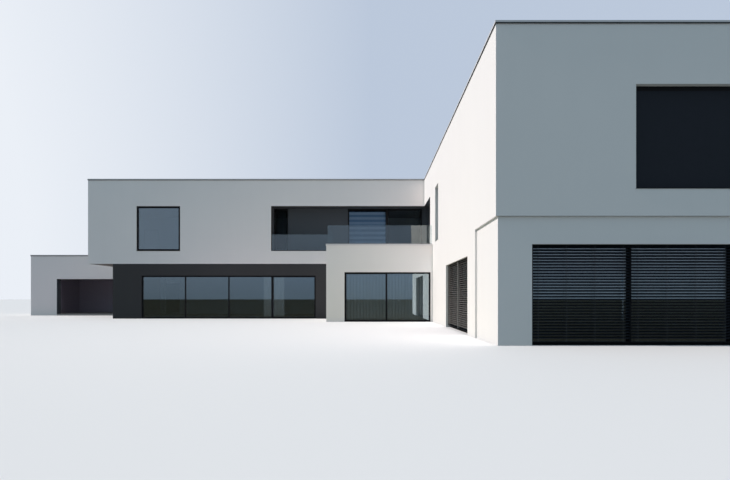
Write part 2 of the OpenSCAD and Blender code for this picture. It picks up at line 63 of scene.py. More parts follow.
Pair = tuple[float, float]
Colour = tuple[float, float, float]
Corner = tuple[float, float, float]
# A box and the colour inside it; some of these are other paints and some are painted light or shade.
PaintAndLightZone = tuple["Box", Colour]


class Side(Enum):
    """The way an outer face of the house looks."""

    FRONT = Vector((0, -1, 0))
    REAR = Vector((0, 1, 0))
    WEST = Vector((-1, 0, 0))
    EAST = Vector((1, 0, 0))


@dataclass(frozen=True)
class Box:
    """An upright box between two corners, in metres."""

    lo: Vector
    hi: Vector

    @property
    def mid(self) -> Vector:
        """Centre of the box."""
        return (self.lo + self.hi) / 2

    @property
    def size(self) -> Vector:
        """Extents of the box."""
        return self.hi - self.lo

    def grown(self, more: float) -> "Box":
        """The box with some more on every side."""
        skin = Vector((more, more, more))
        return Box(self.lo - skin, self.hi + skin)


def node_box(name: str) -> Box:
    """The box of a CAD node."""
    return Box(*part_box(name))


def solids(name: str) -> list[Box]:
    """Boxes of the separate solids of a CAD node.

    Args:
        name: The node's name.

    Returns:
        One box for each connected solid, ordered by place.
    """
    shape = bmesh.new()
    shape.from_mesh(frame["nodes"][name].data)
    bmesh.ops.remove_doubles(shape, verts=shape.verts, dist=WELD)
    waiting = set(shape.verts)
    found = []
    while waiting:
        border = [waiting.pop()]
        group = list(border)
        while border:
            vertex = border.pop()
            for edge in vertex.link_edges:
                other = edge.other_vert(vertex)
                if other in waiting:
                    waiting.remove(other)
                    border.append(other)
                    group.append(other)
        places = [vertex.co for vertex in group]
        lo = Vector(min(place[axis] for place in places) for axis in range(3))
        hi = Vector(max(place[axis] for place in places) for axis in range(3))
        found.append(Box(lo, hi))
    shape.free()
    return sorted(found, key=lambda box: tuple(round(value, 3) for value in box.mid))


@dataclass(frozen=True)
class Plan:
    """Where the main faces of the house are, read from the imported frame."""

    wing: Box = field(default_factory=lambda: node_box("wing_rear_wall"))
    wing_front: Box = field(default_factory=lambda: node_box("wing_front_upper_wall"))
    wing_west: Box = field(default_factory=lambda: node_box("wing_west_upper_wall"))
    long_front: Box = field(default_factory=lambda: node_box("bar_front_wall"))
    loggia_top: Box = field(default_factory=lambda: node_box("loggia_ceiling"))
    upper_floor: Box = field(default_factory=lambda: node_box("upper_floor"))
    # The west windows' box: there the blind has painted sunlight and the glass has its mirroring painted out.
    west_windows: Box = field(default_factory=lambda: node_box("wing_west_lower_wall"))
    seam: float = 0.002

    @property
    def loggia_edges(self) -> Box:
        """The loggia's reveals in the long front wall, just behind its face."""
        seam = self.seam
        low = Vector((self.loggia_top.lo.x - seam, self.long_front.lo.y + seam, self.upper_floor.hi.z))
        high = Vector((self.wing_west.hi.x, self.long_front.hi.y + seam, self.loggia_top.lo.z + seam))
        return Box(low, high)

    @property
    def doorway_edges(self) -> Box:
        """The edges of the terrace opening in the wing's west wall."""
        seam = self.seam
        floor = self.upper_floor.hi.z
        door = next(
            box for box in solids("upper_frames")
            if self.side_of(box) is Side.WEST and box.lo.z < floor + seam
        )
        low = Vector((self.wing_west.lo.x + seam, door.lo.y - seam, floor))
        high = Vector((self.wing_west.hi.x + seam, door.hi.y + seam, self.loggia_top.lo.z + seam))
        return Box(low, high)

    @property
    def soffit(self) -> Box:
        """The underside of the long storey's overhang, where the render has painted shade."""
        seam = self.seam
        bar = self.long_front.lo
        wall = node_box("main_left_wall").lo.x
        low = Vector((bar.x - seam, bar.y + seam, bar.z - seam))
        return Box(low, Vector((wall, self.rear, bar.z + seam / 4)))

    @property
    def pier_reveal(self) -> Box:
        """The lining of the covered terrace beside its pier."""
        lining = node_box("side_lining")
        high = Vector((lining.hi.x, node_box("side_front_wall").hi.y, lining.hi.z))
        return Box(lining.lo, high).grown(self.seam)

    @property
    def loggia_back(self) -> Box:
        """The loggia's back wall with its faces."""
        return node_box("loggia_back_wall").grown(self.seam)

    @property
    def loggia_windows(self) -> Box:
        """The space that the loggia's windows and back wall stand in."""
        back = self.loggia_back
        low = Vector((back.lo.x, self.loggia_top.hi.y, self.upper_floor.hi.z))
        return Box(low, back.hi)

    @property
    def rear(self) -> float:
        """Y of the rear face."""
        return self.wing.hi.y

    def side_of(self, box: Box) -> Side:
        """The side that a window looks to.

        Args:
            box: Box of the window's frame or pane.

        Returns:
            The side of the house.
        """
        if box.size.y < box.size.x:
            return Side.REAR if box.mid.y > self.rear - self.wing.size.y * 2 else Side.FRONT
        return Side.WEST if box.mid.x < self.wing.mid.x else Side.EAST


class Value:
    """A number in a node tree. Its arithmetic adds Math nodes."""

    def __init__(self, graph: "Graph", socket: bpy.types.NodeSocket) -> None:
        """Wraps an output socket of graph."""
        self.graph = graph
        self.socket = socket

    def _math(self, operation: str, *terms: "Value | float") -> "Value":
        """Adds a Math node on the terms and returns its result."""
        settings = {"operation": operation}
        node = self.graph.node("ShaderNodeMath", settings, dict(enumerate(terms)))
        return Value(self.graph, node.outputs[0])

    def __add__(self, other: "Value | float") -> "Value":
        """Sum of two numbers."""
        return self._math("ADD", self, other)

    __radd__ = __add__

    def __sub__(self, other: "Value | float") -> "Value":
        """Difference of two numbers."""
        return self._math("SUBTRACT", self, other)

    def __rsub__(self, other: float) -> "Value":
        """Difference with this number taken away."""
        return self._math("SUBTRACT", other, self)

    def __mul__(self, other: "Value | float") -> "Value":
        """Product of two numbers."""
        return self._math("MULTIPLY", self, other)

    __rmul__ = __mul__

    def __pow__(self, other: float) -> "Value":
        """This number raised to a power."""
        return self._math("POWER", self, other)

    def at_least(self, other: "Value | float") -> "Value":
        """The greater of two numbers."""
        return self._math("MAXIMUM", self, other)

    def __gt__(self, other: float) -> "Value":
        """1 where this number is greater, else 0."""
        return self._math("GREATER_THAN", self, other)

    def __lt__(self, other: float) -> "Value":
        """1 where this number is less, else 0."""
        return self._math("LESS_THAN", self, other)

    def __mod__(self, other: float) -> "Value":
        """Remainder of a division, never negative."""
        return self._math("FLOORED_MODULO", self, other)


@dataclass(frozen=True)
class Waves:
    """A soft noise: its waves in a metre, the number of its finer octaves and a factor on each axis."""

    scale: float
    detail: float = 2.0
    stretch: tuple[float, float, float] = (1.0, 1.0, 1.0)


class Graph:
    """The node tree of a material or the world."""

    def __init__(self, owner: bpy.types.Material | bpy.types.World, space: str = "Object") -> None:
        """Starts with an empty tree.

        Args:
            owner: The material or world.
            space: The texture coordinates that x, y and z are read in.
        """
        self.owner = owner
        owner.use_nodes = True
        self.tree = owner.node_tree
        self.tree.nodes.clear()
        self.place = self.node("ShaderNodeTexCoord").outputs[space]
        split = self.node("ShaderNodeSeparateXYZ", {}, {0: self.place})
        self.x = Value(self, split.outputs[0])
        self.y = Value(self, split.outputs[1])
        self.z = Value(self, split.outputs[2])

    @classmethod
    def material(cls, name: str) -> "Graph":
        """The tree of a new material."""
        return cls(bpy.data.materials.new(name))

    def seen(self) -> Value:
        """1 for camera, glossy and transmission rays, else 0."""
        rays = self.node("ShaderNodeLightPath").outputs
        camera = Value(self, rays["Is Camera Ray"])
        mirrored = Value(self, rays["Is Glossy Ray"])
        passed = Value(self, rays["Is Transmission Ray"])
        return camera.at_least(mirrored).at_least(passed)

    def rise(self, value: Value, low: float, high: float) -> Value:
        """0 below low, 1 above high and a straight slope between."""
        inputs = {"Value": value, "From Min": low, "From Max": high}
        return Value(self, self.node("ShaderNodeMapRange", {"clamp": True}, inputs).outputs[0])

    def inside(self, box: Box) -> Value:
        """1 inside a box, else 0."""
        mask = (self.x > box.lo.x) * (self.x < box.hi.x)
        mask = mask * (self.y > box.lo.y) * (self.y < box.hi.y)
        return mask * (self.z > box.lo.z) * (self.z < box.hi.z)

    def with_paint_and_light_zones(self, colour: object, paint_and_light_zones: tuple[PaintAndLightZone, ...]) -> object:
        """A colour with other colours inside some boxes: other paints, and painted light or shade."""
        for box, tint in paint_and_light_zones:
            colour = self.blend(self.inside(box), colour, tint)
        return colour

    def node(self, kind: str, settings: dict | None = None, inputs: dict | None = None) -> bpy.types.Node:
        """Adds a node.

        Args:
            kind: The node's type.
            settings: Properties of the node, set first. A ramp's stops are given as "stops".
            inputs: Values or links of its sockets, by name or number.

        Returns:
            The node.
        """
        node = self.tree.nodes.new(kind)
        for key, value in (settings or {}).items():
            if key == "stops":
                self._stops(node, value)
            else:
                setattr(node, key, value)
        for key, value in (inputs or {}).items():
            socket = node.inputs[key]
            if isinstance(value, Value):
                self.tree.links.new(value.socket, socket)
            elif isinstance(value, bpy.types.NodeSocket):
                self.tree.links.new(value, socket)
            else:
                socket.default_value = value
        return node

    @staticmethod
    def _stops(node: bpy.types.Node, stops: list[tuple[float, tuple]]) -> None:
        """Sets the stops of a colour ramp, each as its place and its colour."""
        elements = node.color_ramp.elements
        while len(elements) < len(stops):
            elements.new(0.5)
        for element, (place, colour) in zip(elements, stops):
            element.position = place
            element.color = colour

    def noise(self, waves: Waves) -> Value:
        """Soft noise between 0 and 1."""
        mapping = self.node("ShaderNodeMapping", {}, {"Vector": self.place, "Scale": waves.stretch})
        inputs = {"Vector": mapping.outputs[0], "Scale": waves.scale, "Detail": waves.detail}
        return Value(self, self.node("ShaderNodeTexNoise", {}, inputs).outputs[0])

    def sine(self, phase: Value) -> Value:
        """Sine of an angle in radians."""
        return Value(self, self.node("ShaderNodeMath", {"operation": "SINE"}, {0: phase}).outputs[0])

    def mirrors(self) -> Value:
        """1 for glossy rays, else 0."""
        return Value(self, self.node("ShaderNodeLightPath").outputs["Is Glossy Ray"])

    def cells(self, scale: float) -> bpy.types.Node:
        """A Voronoi node with that many cells in a metre."""
        return self.node("ShaderNodeTexVoronoi", {}, {"Vector": self.place, "Scale": scale})

    def blend(self, factor: "Value | float", first: object, second: object) -> bpy.types.NodeSocket:
        """Mixes two colours.

        Args:
            factor: Share of the second colour.
            first: Colour or link at 0.
            second: Colour or link at 1.

        Returns:
            The mixed colour.
        """
        inputs = {"Factor": factor, MIX_FIRST: _rgba(first), MIX_SECOND: _rgba(second)}
        node = self.node("ShaderNodeMix", {"data_type": "RGBA"}, inputs)
        return node.outputs[MIX_RESULT]

    def bump(self, height: Value, depth: float) -> bpy.types.NodeSocket:
        """A normal bent by height, where a height of 1 stands depth metres proud."""
        return self.node("ShaderNodeBump", {}, {"Height": height, "Distance": depth}).outputs[0]

    def principled(self, **inputs: object) -> bpy.types.Node:
        """A Principled shader with these sockets, whose names have _ for a space."""
        named = {key.replace("_", " "): _rgba(value) for key, value in inputs.items()}
        return self.node("ShaderNodeBsdfPrincipled", {}, named)

    def output(self, shader: bpy.types.Node) -> bpy.types.Material | bpy.types.World:
        """Connects the surface.

        Args:
            shader: The last shader node.

        Returns:
            The finished material or world.
        """
        kind = "World" if isinstance(self.owner, bpy.types.World) else "Material"
        self.node(f"ShaderNodeOutput{kind}", {}, {"Surface": shader.outputs[0]})
        return self.owner


def _rgba(value: object) -> object:
    """A colour of three numbers as four, and anything else as it is."""
    if isinstance(value, tuple) and len(value) == 3:
        return (*value, 1.0)
    return value


@dataclass(frozen=True)
class MineralRender:
    """Fine mineral render with a rubbed grain, faint clouds and weather marks, and other colours in some
    boxes: other paints, and painted shade on the overhang's underside.
    """

    name: str
    colour: Colour
    paint_and_light_zones: tuple[PaintAndLightZone, ...] = ()
    shade: float = 0.94
    clouds: Waves = Waves(0.5, 3.0)
    streaks: Waves = Waves(1.2, 4.0, (2.0, 2.0, 0.12))
    cloud_share: float = 0.6
    grain: Waves = Waves(160.0, 3.0)
    trowel: Waves = Waves(35.2)
    grain_height: float = 0.7
    trowel_height: float = 0.6
    depth: float = 0.0012
    roughness: float = 0.93
    specular: float = 0.25

    def build(self) -> bpy.types.Material:
        """Makes the material."""
        graph = Graph.material(self.name)
        clouds = graph.noise(self.clouds)
        streaks = graph.noise(self.streaks)
        wear = clouds * self.cloud_share + streaks * (1.0 - self.cloud_share)
        dark = tuple(channel * self.shade for channel in self.colour)
        colour = graph.with_paint_and_light_zones(graph.blend(wear, dark, self.colour), self.paint_and_light_zones)
        grain = graph.noise(self.grain)
        trowel = graph.noise(self.trowel)
        height = grain * self.grain_height + trowel * self.trowel_height
        return graph.output(graph.principled(
            Base_Color=colour,
            Roughness=self.roughness,
            Specular_IOR_Level=self.specular,
            Normal=graph.bump(height, self.depth),
        ))


@dataclass(frozen=True)
class Gravel:
    """Washed round gravel on a flat roof."""

    name: str
    pale: Colour = (0.50, 0.48, 0.45)
    dark: Colour = (0.24, 0.23, 0.22)
    stone: float = 0.028
    drift: Waves = Waves(0.7, 3.0)
    tone_share: float = 0.75
    roughness: float = 0.85

    def build(self) -> bpy.types.Material:
        """Makes the material."""
        graph = Graph.material(self.name)
        cells = graph.cells(1.0 / self.stone)
        tone = Value(graph, graph.node("ShaderNodeSeparateXYZ", {}, {0: cells.outputs["Color"]}).outputs[0])
        distance = Value(graph, cells.outputs["Distance"])
        drift = graph.noise(self.drift)
        share = tone * self.tone_share + drift * (1.0 - self.tone_share)
        colour = graph.blend(share, self.dark, self.pale)
        height = 1.0 - distance
        return graph.output(graph.principled(
            Base_Color=colour,
            Roughness=self.roughness,
            Normal=graph.bump(height, self.stone / 2),
        ))


@dataclass(frozen=True)
class CoatedMetal:
    """Powder coated or folded sheet metal with handling marks and a faint texture."""

    name: str
    colour: Colour
    roughness: float = 0.42
    metallic: float = 0.0
    specular: float = 0.5
    paint_and_light_zones: tuple[PaintAndLightZone, ...] = ()
    marks: Waves = Waves(3.0, 4.0)
    pale: float = 1.25
    dust: float = 0.004
    spread: float = 0.12
    grain: Waves = Waves(700.0, 1.0)
    depth: float = 0.0002

    def with_painted_light(self, graph: Graph, colour: object) -> object:
        """The colour with its boxes of painted light."""
        return graph.with_paint_and_light_zones(colour, self.paint_and_light_zones)

    def build(self) -> bpy.types.Material:
        """Makes the material."""
        graph = Graph.material(self.name)
        marks = graph.noise(self.marks)
        pale = tuple(min(1.0, channel * self.pale + self.dust) for channel in self.colour)
        return graph.output(graph.principled(
            Base_Color=self.with_painted_light(graph, graph.blend(marks, self.colour, pale)),
            Roughness=self.roughness + self.spread * marks,
            Metallic=self.metallic,
            Specular_IOR_Level=self.specular,
            Normal=graph.bump(graph.noise(self.grain), self.depth),
        ))


@dataclass(frozen=True)
class CopingSheet(CoatedMetal):
    """Folded pale coping sheet over a dark painted shadow strip under its drip edge, which the garden room's
    parapet has not.
    """

    roughness: float = 0.45
    specular: float = 0.3
    marks: Waves = Waves(2.0, 4.0, (1.0, 1.0, 0.3))
    pale: float = 1.12
    dust: float = 0.0
    spread: float = 0.15
    grain: Waves = Waves(14.0)
    depth: float = 0.0008
    tops: tuple[float, ...] = ()
    # Painted shadow: below the pale face, the strip down to foot is painted dark as the shadow under the drip
    # edge.
    dark: Colour = (0.020, 0.021, 0.023)
    face: float = 0.048
    foot: float = 0.105

    def with_painted_light(self, graph: Graph, colour: object) -> object:
        """The colour with the dark painted shadow strip under each of the tops."""
        for top in self.tops:
            foot = (graph.z < top - self.face) * (graph.z > top - self.foot)
            colour = graph.blend(foot, colour, self.dark)
        return colour


@dataclass(frozen=True)
class Screed(CoatedMetal):
    """Smooth screed or concrete with faint clouds, made like the metal with softer numbers."""

    roughness: float = 0.6
    marks: Waves = Waves(1.4, 5.0)
    pale: float = 1.12
    dust: float = 0.0
    spread: float = 0.2
    grain: Waves = Waves(90.0)
    depth: float = 0.0006


@dataclass(frozen=True)
class Pane:
    """Coated glass: mirrors more towards grazing and passes a tinted view; in some recesses its mirroring is
    painted out, as painted shade.
    """

    name: str
    tint: Colour
    mirror: float
    gloss: Colour = (0.82, 0.95, 1.0)
    recesses: tuple[Box, ...] = ()
    # Painted shade: the share of the mirroring cut away inside the recesses.
    mirror_painted_out: float = 0.985
    turn: float = 0.5
    falloff: float = 5.0

    def build(self) -> bpy.types.Material:
        """Makes the material."""
        graph = Graph.material(self.name)
        facing = graph.node("ShaderNodeLayerWeight", {}, {"Blend": self.turn}).outputs["Facing"]
        share = self.mirror + (1.0 - self.mirror) * Value(graph, facing) ** self.falloff
        # Painted shade: the mirroring is cut inside each recess.
        for recess in self.recesses:
            share = share * (1.0 - self.mirror_painted_out * graph.inside(recess))
        clear = graph.node("ShaderNodeBsdfTransparent", {}, {"Color": _rgba(self.tint)})
        shine = graph.node("ShaderNodeBsdfGlossy", {}, {"Color": _rgba(self.gloss), "Roughness": 0.0})
        mix = graph.node(
            "ShaderNodeMixShader", {}, {0: share, 1: clear.outputs[0], 2: shine.outputs[0]}
        )
        return graph.output(mix)


@dataclass(frozen=True)
class Cloth:
    """Woven fabric with crossing threads, partly open where it is sheer, with a painted glow that stands in
    for daylight shining through it.
    """

    name: str
    colour: Colour
    cover: float = 1.0
    thread: float = 0.0016
    sheen: float = 0.2
    # Painted light: an emitted colour that stands in for daylight through the cloth.
    painted_glow: Colour = (0.0, 0.0, 0.0)
    clouds: Waves = Waves(6.0)
    shade: float = 0.86
    relief: float = 0.3
    roughness: float = 0.9

    def build(self) -> bpy.types.Material:
        """Makes the material."""
        graph = Graph.material(self.name)
        waves = math.tau / self.thread
        weave = graph.sine((graph.x + graph.y) * waves) * graph.sine(graph.z * waves)
        clouds = graph.noise(self.clouds)
        dark = tuple(channel * self.shade for channel in self.colour)
        return graph.output(graph.principled(
            Base_Color=graph.blend(clouds, dark, self.colour),
            Roughness=self.roughness,
            Sheen_Weight=self.sheen,
            Normal=graph.bump(weave, self.thread * self.relief),
            Alpha=self.cover,
            Emission_Color=self.painted_glow,
            Emission_Strength=float(any(self.painted_glow)),
        ))


@dataclass(frozen=True)
class BandedCloth:
    """Roller blind cloth with alternating light and dark bands."""

    name: str
    light: Colour = (0.58, 0.68, 0.84)
    dark: Colour = (0.30, 0.41, 0.58)
    start: float = 6.155
    period: float = 0.29
    thread: float = 0.002
    relief: float = 0.2
    roughness: float = 0.85

    def build(self) -> bpy.types.Material:
        """Makes the material."""
        graph = Graph.material(self.name)
        share = (self.start - graph.z) % self.period
        band = share < self.period / 2
        weft = graph.sine(graph.z * (math.tau / self.thread))
        return graph.output(graph.principled(
            Base_Color=graph.blend(band, self.light, self.dark),
            Roughness=self.roughness,
            Normal=graph.bump(weft, self.thread * self.relief),
        ))


@dataclass(frozen=True)
class Look:
    """The materials of a piece and the slot of the record that they stand for."""

    slot: str
    materials: tuple[bpy.types.Material, ...]


class Palette:
    """All finishes of the house, built once and kept by name."""

    NAMES_BY_SLOT = {
        "floor": "screed",
        "roofing": "roof_gravel",
        "coping_metal": "coping_sheet",
        "blind_metal": "slat_metal",
        "curtain_fabric": "curtain_voile",
    }

    def __init__(self, plan: Plan) -> None:
        """Makes every material.

        Args:
            plan: Where the faces of the house are.
        """
        dark = (0.055, 0.056, 0.058)
        # A lighter, bluer dark colour for some reveals, the terrace lining beside the pier and the loggia's
        # back wall.
        bluish_dark = (0.068, 0.078, 0.090)
        # Painted light: the curtains glow with this colour in place of daylight shining through them.
        painted_backlight = (0.055, 0.054, 0.046)
        black = (0.006, 0.007, 0.009)
        # Painted shade: the overhang's underside is painted a darker grey than the white render.
        soffit = (0.40, 0.40, 0.38)
        # Painted sunlight: the west blind's guides and slats are lighter than the same parts on the shaded
        # front blind.
        painted_sunlit_guide = (0.34, 0.34, 0.33)
        painted_sunlit_slat = (0.085, 0.082, 0.077)
        paint_and_light_zones = ((plan.loggia_edges, dark), (plan.doorway_edges, bluish_dark), (plan.soffit, soffit))
        coping_top = node_box("copings").hi.z
        side_coping_top = node_box("side_front_wall").hi.z + coping_top - plan.long_front.hi.z
        finishes = (
            MineralRender("white_render", (0.80, 0.80, 0.785), paint_and_light_zones),
            MineralRender("terrace_lining", (0.50, 0.46, 0.53), ((plan.pier_reveal, bluish_dark),)),
            CoatedMetal("guide_metal", black, specular=0.15, paint_and_light_zones=((plan.west_windows, painted_sunlit_guide),)),
            MineralRender("anthracite_render", dark, ((plan.loggia_back, bluish_dark),), shade=0.85),
            Screed("screed", (0.34, 0.33, 0.31)),
            Gravel("roof_gravel"),
            CopingSheet("coping_sheet", (0.56, 0.57, 0.58), tops=(coping_top, side_coping_top)),
            CoatedMetal("frame_metal", black, specular=0.15),
            Pane(
                "window_glass", (0.68, 0.74, 0.78), mirror=0.31,
                recesses=(plan.loggia_windows, plan.west_windows)
            ),
            Pane("rail_glass", (0.86, 0.90, 0.90), mirror=0.115, gloss=(0.95, 1.0, 1.0)),
            CoatedMetal(
                "slat_metal", (0.010, 0.014, 0.019), roughness=0.38, specular=0.12,
                paint_and_light_zones=((plan.west_windows, painted_sunlit_slat),)
            ),
            Cloth("screen_fabric", (0.013, 0.018, 0.028), thread=0.003, sheen=0.0),
            BandedCloth("banded_fabric"),
            Cloth("curtain_voile", (0.70, 0.71, 0.70), cover=0.55, painted_glow=painted_backlight),
            Cloth("curtain_linen", (0.66, 0.67, 0.67), painted_glow=painted_backlight),
            CoatedMetal("rubber_seal", (0.006, 0.006, 0.006), roughness=0.7),
            CoatedMetal("satin_steel", (0.46, 0.46, 0.46), roughness=0.3, metallic=1.0),
            CoatedMetal("sill_sheet", (0.030, 0.032, 0.035), roughness=0.4),
            Cloth("ladder_tape", (0.10, 0.11, 0.12)),
            Screed("paving_slabs", (0.60, 0.59, 0.57)),
            CoatedMetal("glass_edge", (0.10, 0.20, 0.16), roughness=0.15),
        )
        self.materials = {finish.name: finish.build() for finish in finishes}

    def look(self, slot: str, *names: str) -> Look:
        """The look of a piece, from its slot and the names of its materials."""
        return Look(slot, tuple(self.materials[name] for name in names))

    def dress_nodes(self) -> None:
        """Gives every CAD node its finish, by the record's slots. Only the terrace lining has its own."""
        for row in frame["record"]["subparts"]:
            slot = row["material_slot"]
            name = "terrace_lining" if row["node"] == "side_lining" else self.NAMES_BY_SLOT.get(slot, slot)
            node = frame["nodes"][row["node"]]
            node.data.materials.clear()
            node.data.materials.append(self.materials[name])


def placed(name: str, data: bpy.types.ID) -> bpy.types.Object:
    """A new object in the scene."""
    thing = bpy.data.objects.new(name, data)
    bpy.context.scene.collection.objects.link(thing)
    return thing


@dataclass(frozen=True)
class Board:
    """A soft light board on the ground or beside the wing, which is seen neither directly nor in mirrors."""

    name: str
    lo: Corner
    hi: Corner
    power: float
    colour: Colour

    def build(self) -> None:
        """Adds the board, which looks up where it lies flat and to the left where it stands."""
        box = Box(Vector(self.lo), Vector(self.hi))
        size = box.size
        stands = size.x < size.z
        data = bpy.data.lights.new(self.name, "AREA")
        data.shape = "RECTANGLE"
        data.size = size.z if stands else size.x
        data.size_y = size.y
        data.energy = self.power
        data.color = self.colour
        light = placed(self.name, data)
        light.location = box.mid
        light.rotation_euler = (0.0, math.pi / 2 if stands else math.pi, 0.0)
        light.visible_camera = False
        light.visible_glossy = False


@dataclass(frozen=True)
class Studio:
    """Camera, light and pale ground."""

    eye: Vector = Vector((5.447, -25.860, 1.188))
    image_w: float = 730.0
    image_h: float = 480.0
    focal_px: float = 500.0
    vanish_x: float = 370.5
    vanish_y: float = 298.0
    sensor: float = 36.0
    clip_end: float = 2000.0
    floor_half: float = 400.0
    floor_drop: float = 0.002
    sky_sunward: Colour = (0.83, 0.87, 0.93)
    sky_away: Colour = (0.50, 0.58, 0.71)
    sky_span: Pair = (-0.56, 0.0)
    mirrored_low: Colour = (0.18, 0.22, 0.26)
    mirrored_front: Colour = (0.26, 0.32, 0.42)
    mirrored_side: Colour = (0.31, 0.35, 0.42)
    horizon_span: Pair = (-0.02, 0.08)
    side_span: Pair = (0.1, 0.4)
    behind_span: Pair = (-0.8, -0.2)
    ambient: Colour = (0.297, 0.402, 0.498)
    floor_lit: Colour = (0.26, 0.28, 0.27)
    floor_shown: Colour = (0.74, 0.75, 0.74)
    floor_mirrored: Colour = (0.045, 0.042, 0.030)
    sun_power: float = 3.58
    sun_colour: Colour = (1.0, 0.897, 0.859)
    sun_height: float = 38.0
    sun_width: float = 3.0
    boards: tuple[Board, ...] = (
        Board("yard_near", (0.2, -13.3, 0.02), (8.4, -1.0, 0.02), 63.0, (1.0, 0.83, 0.29)),
        Board("yard_middle", (-5.5, -1.0, 0.02), (2.0, 2.9, 0.02), 73.0, (1.0, 0.72, 0.77)),
        Board("yard_far", (-24.0, -3.0, 0.02), (-11.0, 7.6, 0.02), 77.0, (1.0, 0.56, 0.70)),
        Board("wall_low", (8.53, -13.3, 0.1), (8.53, -0.9, 3.2), 79.0, (1.0, 0.90, 0.94)),
        Board("wall_high", (8.53, -13.3, 3.3), (8.53, 2.9, 7.9), 119.0, (1.0, 0.73, 0.67)),
    )

    def camera(self) -> None:
        """Sets up the camera at the photograph's viewpoint, level and square to the fronts."""
        data = bpy.data.cameras.new("camera")
        data.sensor_width = self.sensor
        data.lens = self.sensor * self.focal_px / self.image_w
        data.shift_x = (self.image_w / 2 - self.vanish_x) / self.image_w
        data.shift_y = (self.vanish_y - self.image_h / 2) / self.image_w
        data.clip_end = self.clip_end
        camera = placed("camera", data)
        camera.location = self.eye
        camera.rotation_euler = (math.pi / 2, 0.0, 0.0)
        bpy.context.scene.camera = camera

    def sun(self) -> None:
        """Adds the soft key light from the left, along the fronts."""
        data = bpy.data.lights.new("key", "SUN")
        data.energy = self.sun_power
        data.color = self.sun_colour
        data.angle = math.radians(self.sun_width)
        light = placed("key", data)
        light.rotation_euler = (0.0, -math.radians(90.0 - self.sun_height), 0.0)

    def world(self) -> None:
        """Gives the world one colour for light, a paler sky to look at and a darker one in mirrors."""
        world = bpy.data.worlds.new("studio")
        bpy.context.scene.world = world
        graph = Graph(world, "Generated")
        sky = graph.blend(graph.rise(graph.x, *self.sky_span), self.sky_sunward, self.sky_away)
        aside = graph.rise(graph.x.at_least(-1.0 * graph.x), *self.side_span)
        upper = graph.blend(aside, self.mirrored_front, self.mirrored_side)
        opposite = graph.blend(graph.rise(graph.z, *self.horizon_span), self.mirrored_low, upper)
        mirrored = graph.blend(graph.rise(graph.y, *self.behind_span), opposite, sky)
        shown = graph.blend(graph.mirrors(), sky, mirrored)
        colour = graph.blend(graph.seen(), self.ambient, shown)
        graph.output(graph.node("ShaderNodeBackground", {}, {"Color": colour}))

    def floor(self) -> None:
        """Adds the pale floor, which bounces and mirrors less light than it shows."""
        shape = bmesh.new()
        bmesh.ops.create_grid(shape, x_segments=1, y_segments=1, size=self.floor_half)
        mesh = bpy.data.meshes.new("floor")
        shape.to_mesh(mesh)
        shape.free()
        floor = placed("floor", mesh)
        floor.location.z = -self.floor_drop
        graph = Graph.material("studio_floor")
        shown = graph.blend(graph.mirrors(), self.floor_shown, self.floor_mirrored)
        colour = graph.blend(graph.seen(), self.floor_lit, shown)
        shader = graph.principled(Base_Color=colour, Roughness=1.0, Specular_IOR_Level=0.0)
        mesh.materials.append(graph.output(shader))

    def build(self) -> None:
        """Sets up the whole studio."""
        bpy.context.scene.view_settings.view_transform = "Standard"
        self.camera()
        self.sun()
        for board in self.boards:
            board.build()
        self.world()
        self.floor()


@dataclass(frozen=True)
class Opening:
    """A window, door or strip of wall seen from outside, in its own axes: along, out and up."""

    box: Box
    side: Side

    @property
    def along(self) -> Vector:
        """Direction of the width."""
        return self.side.value.cross(Vector((0, 0, 1)))

    @property
    def width(self) -> float:
        """Length along the wall."""
        return abs(self.box.size.dot(self.along))

    @property
    def depth(self) -> float:
        """Thickness through the wall."""
        return abs(self.box.size.dot(self.side.value))

    @property
    def height(self) -> float:
        """Height of the box."""
        return self.box.size.z

    @property
    def place(self) -> Matrix:
        """Carries the opening's axes, from the foot of its outer face, to the house's."""
        origin = self.box.mid + self.side.value * self.depth / 2
        origin.z = self.box.lo.z
        turn = Matrix((self.along, self.side.value, Vector((0, 0, 1)))).transposed()
        return Matrix.Translation(origin) @ turn.to_4x4()


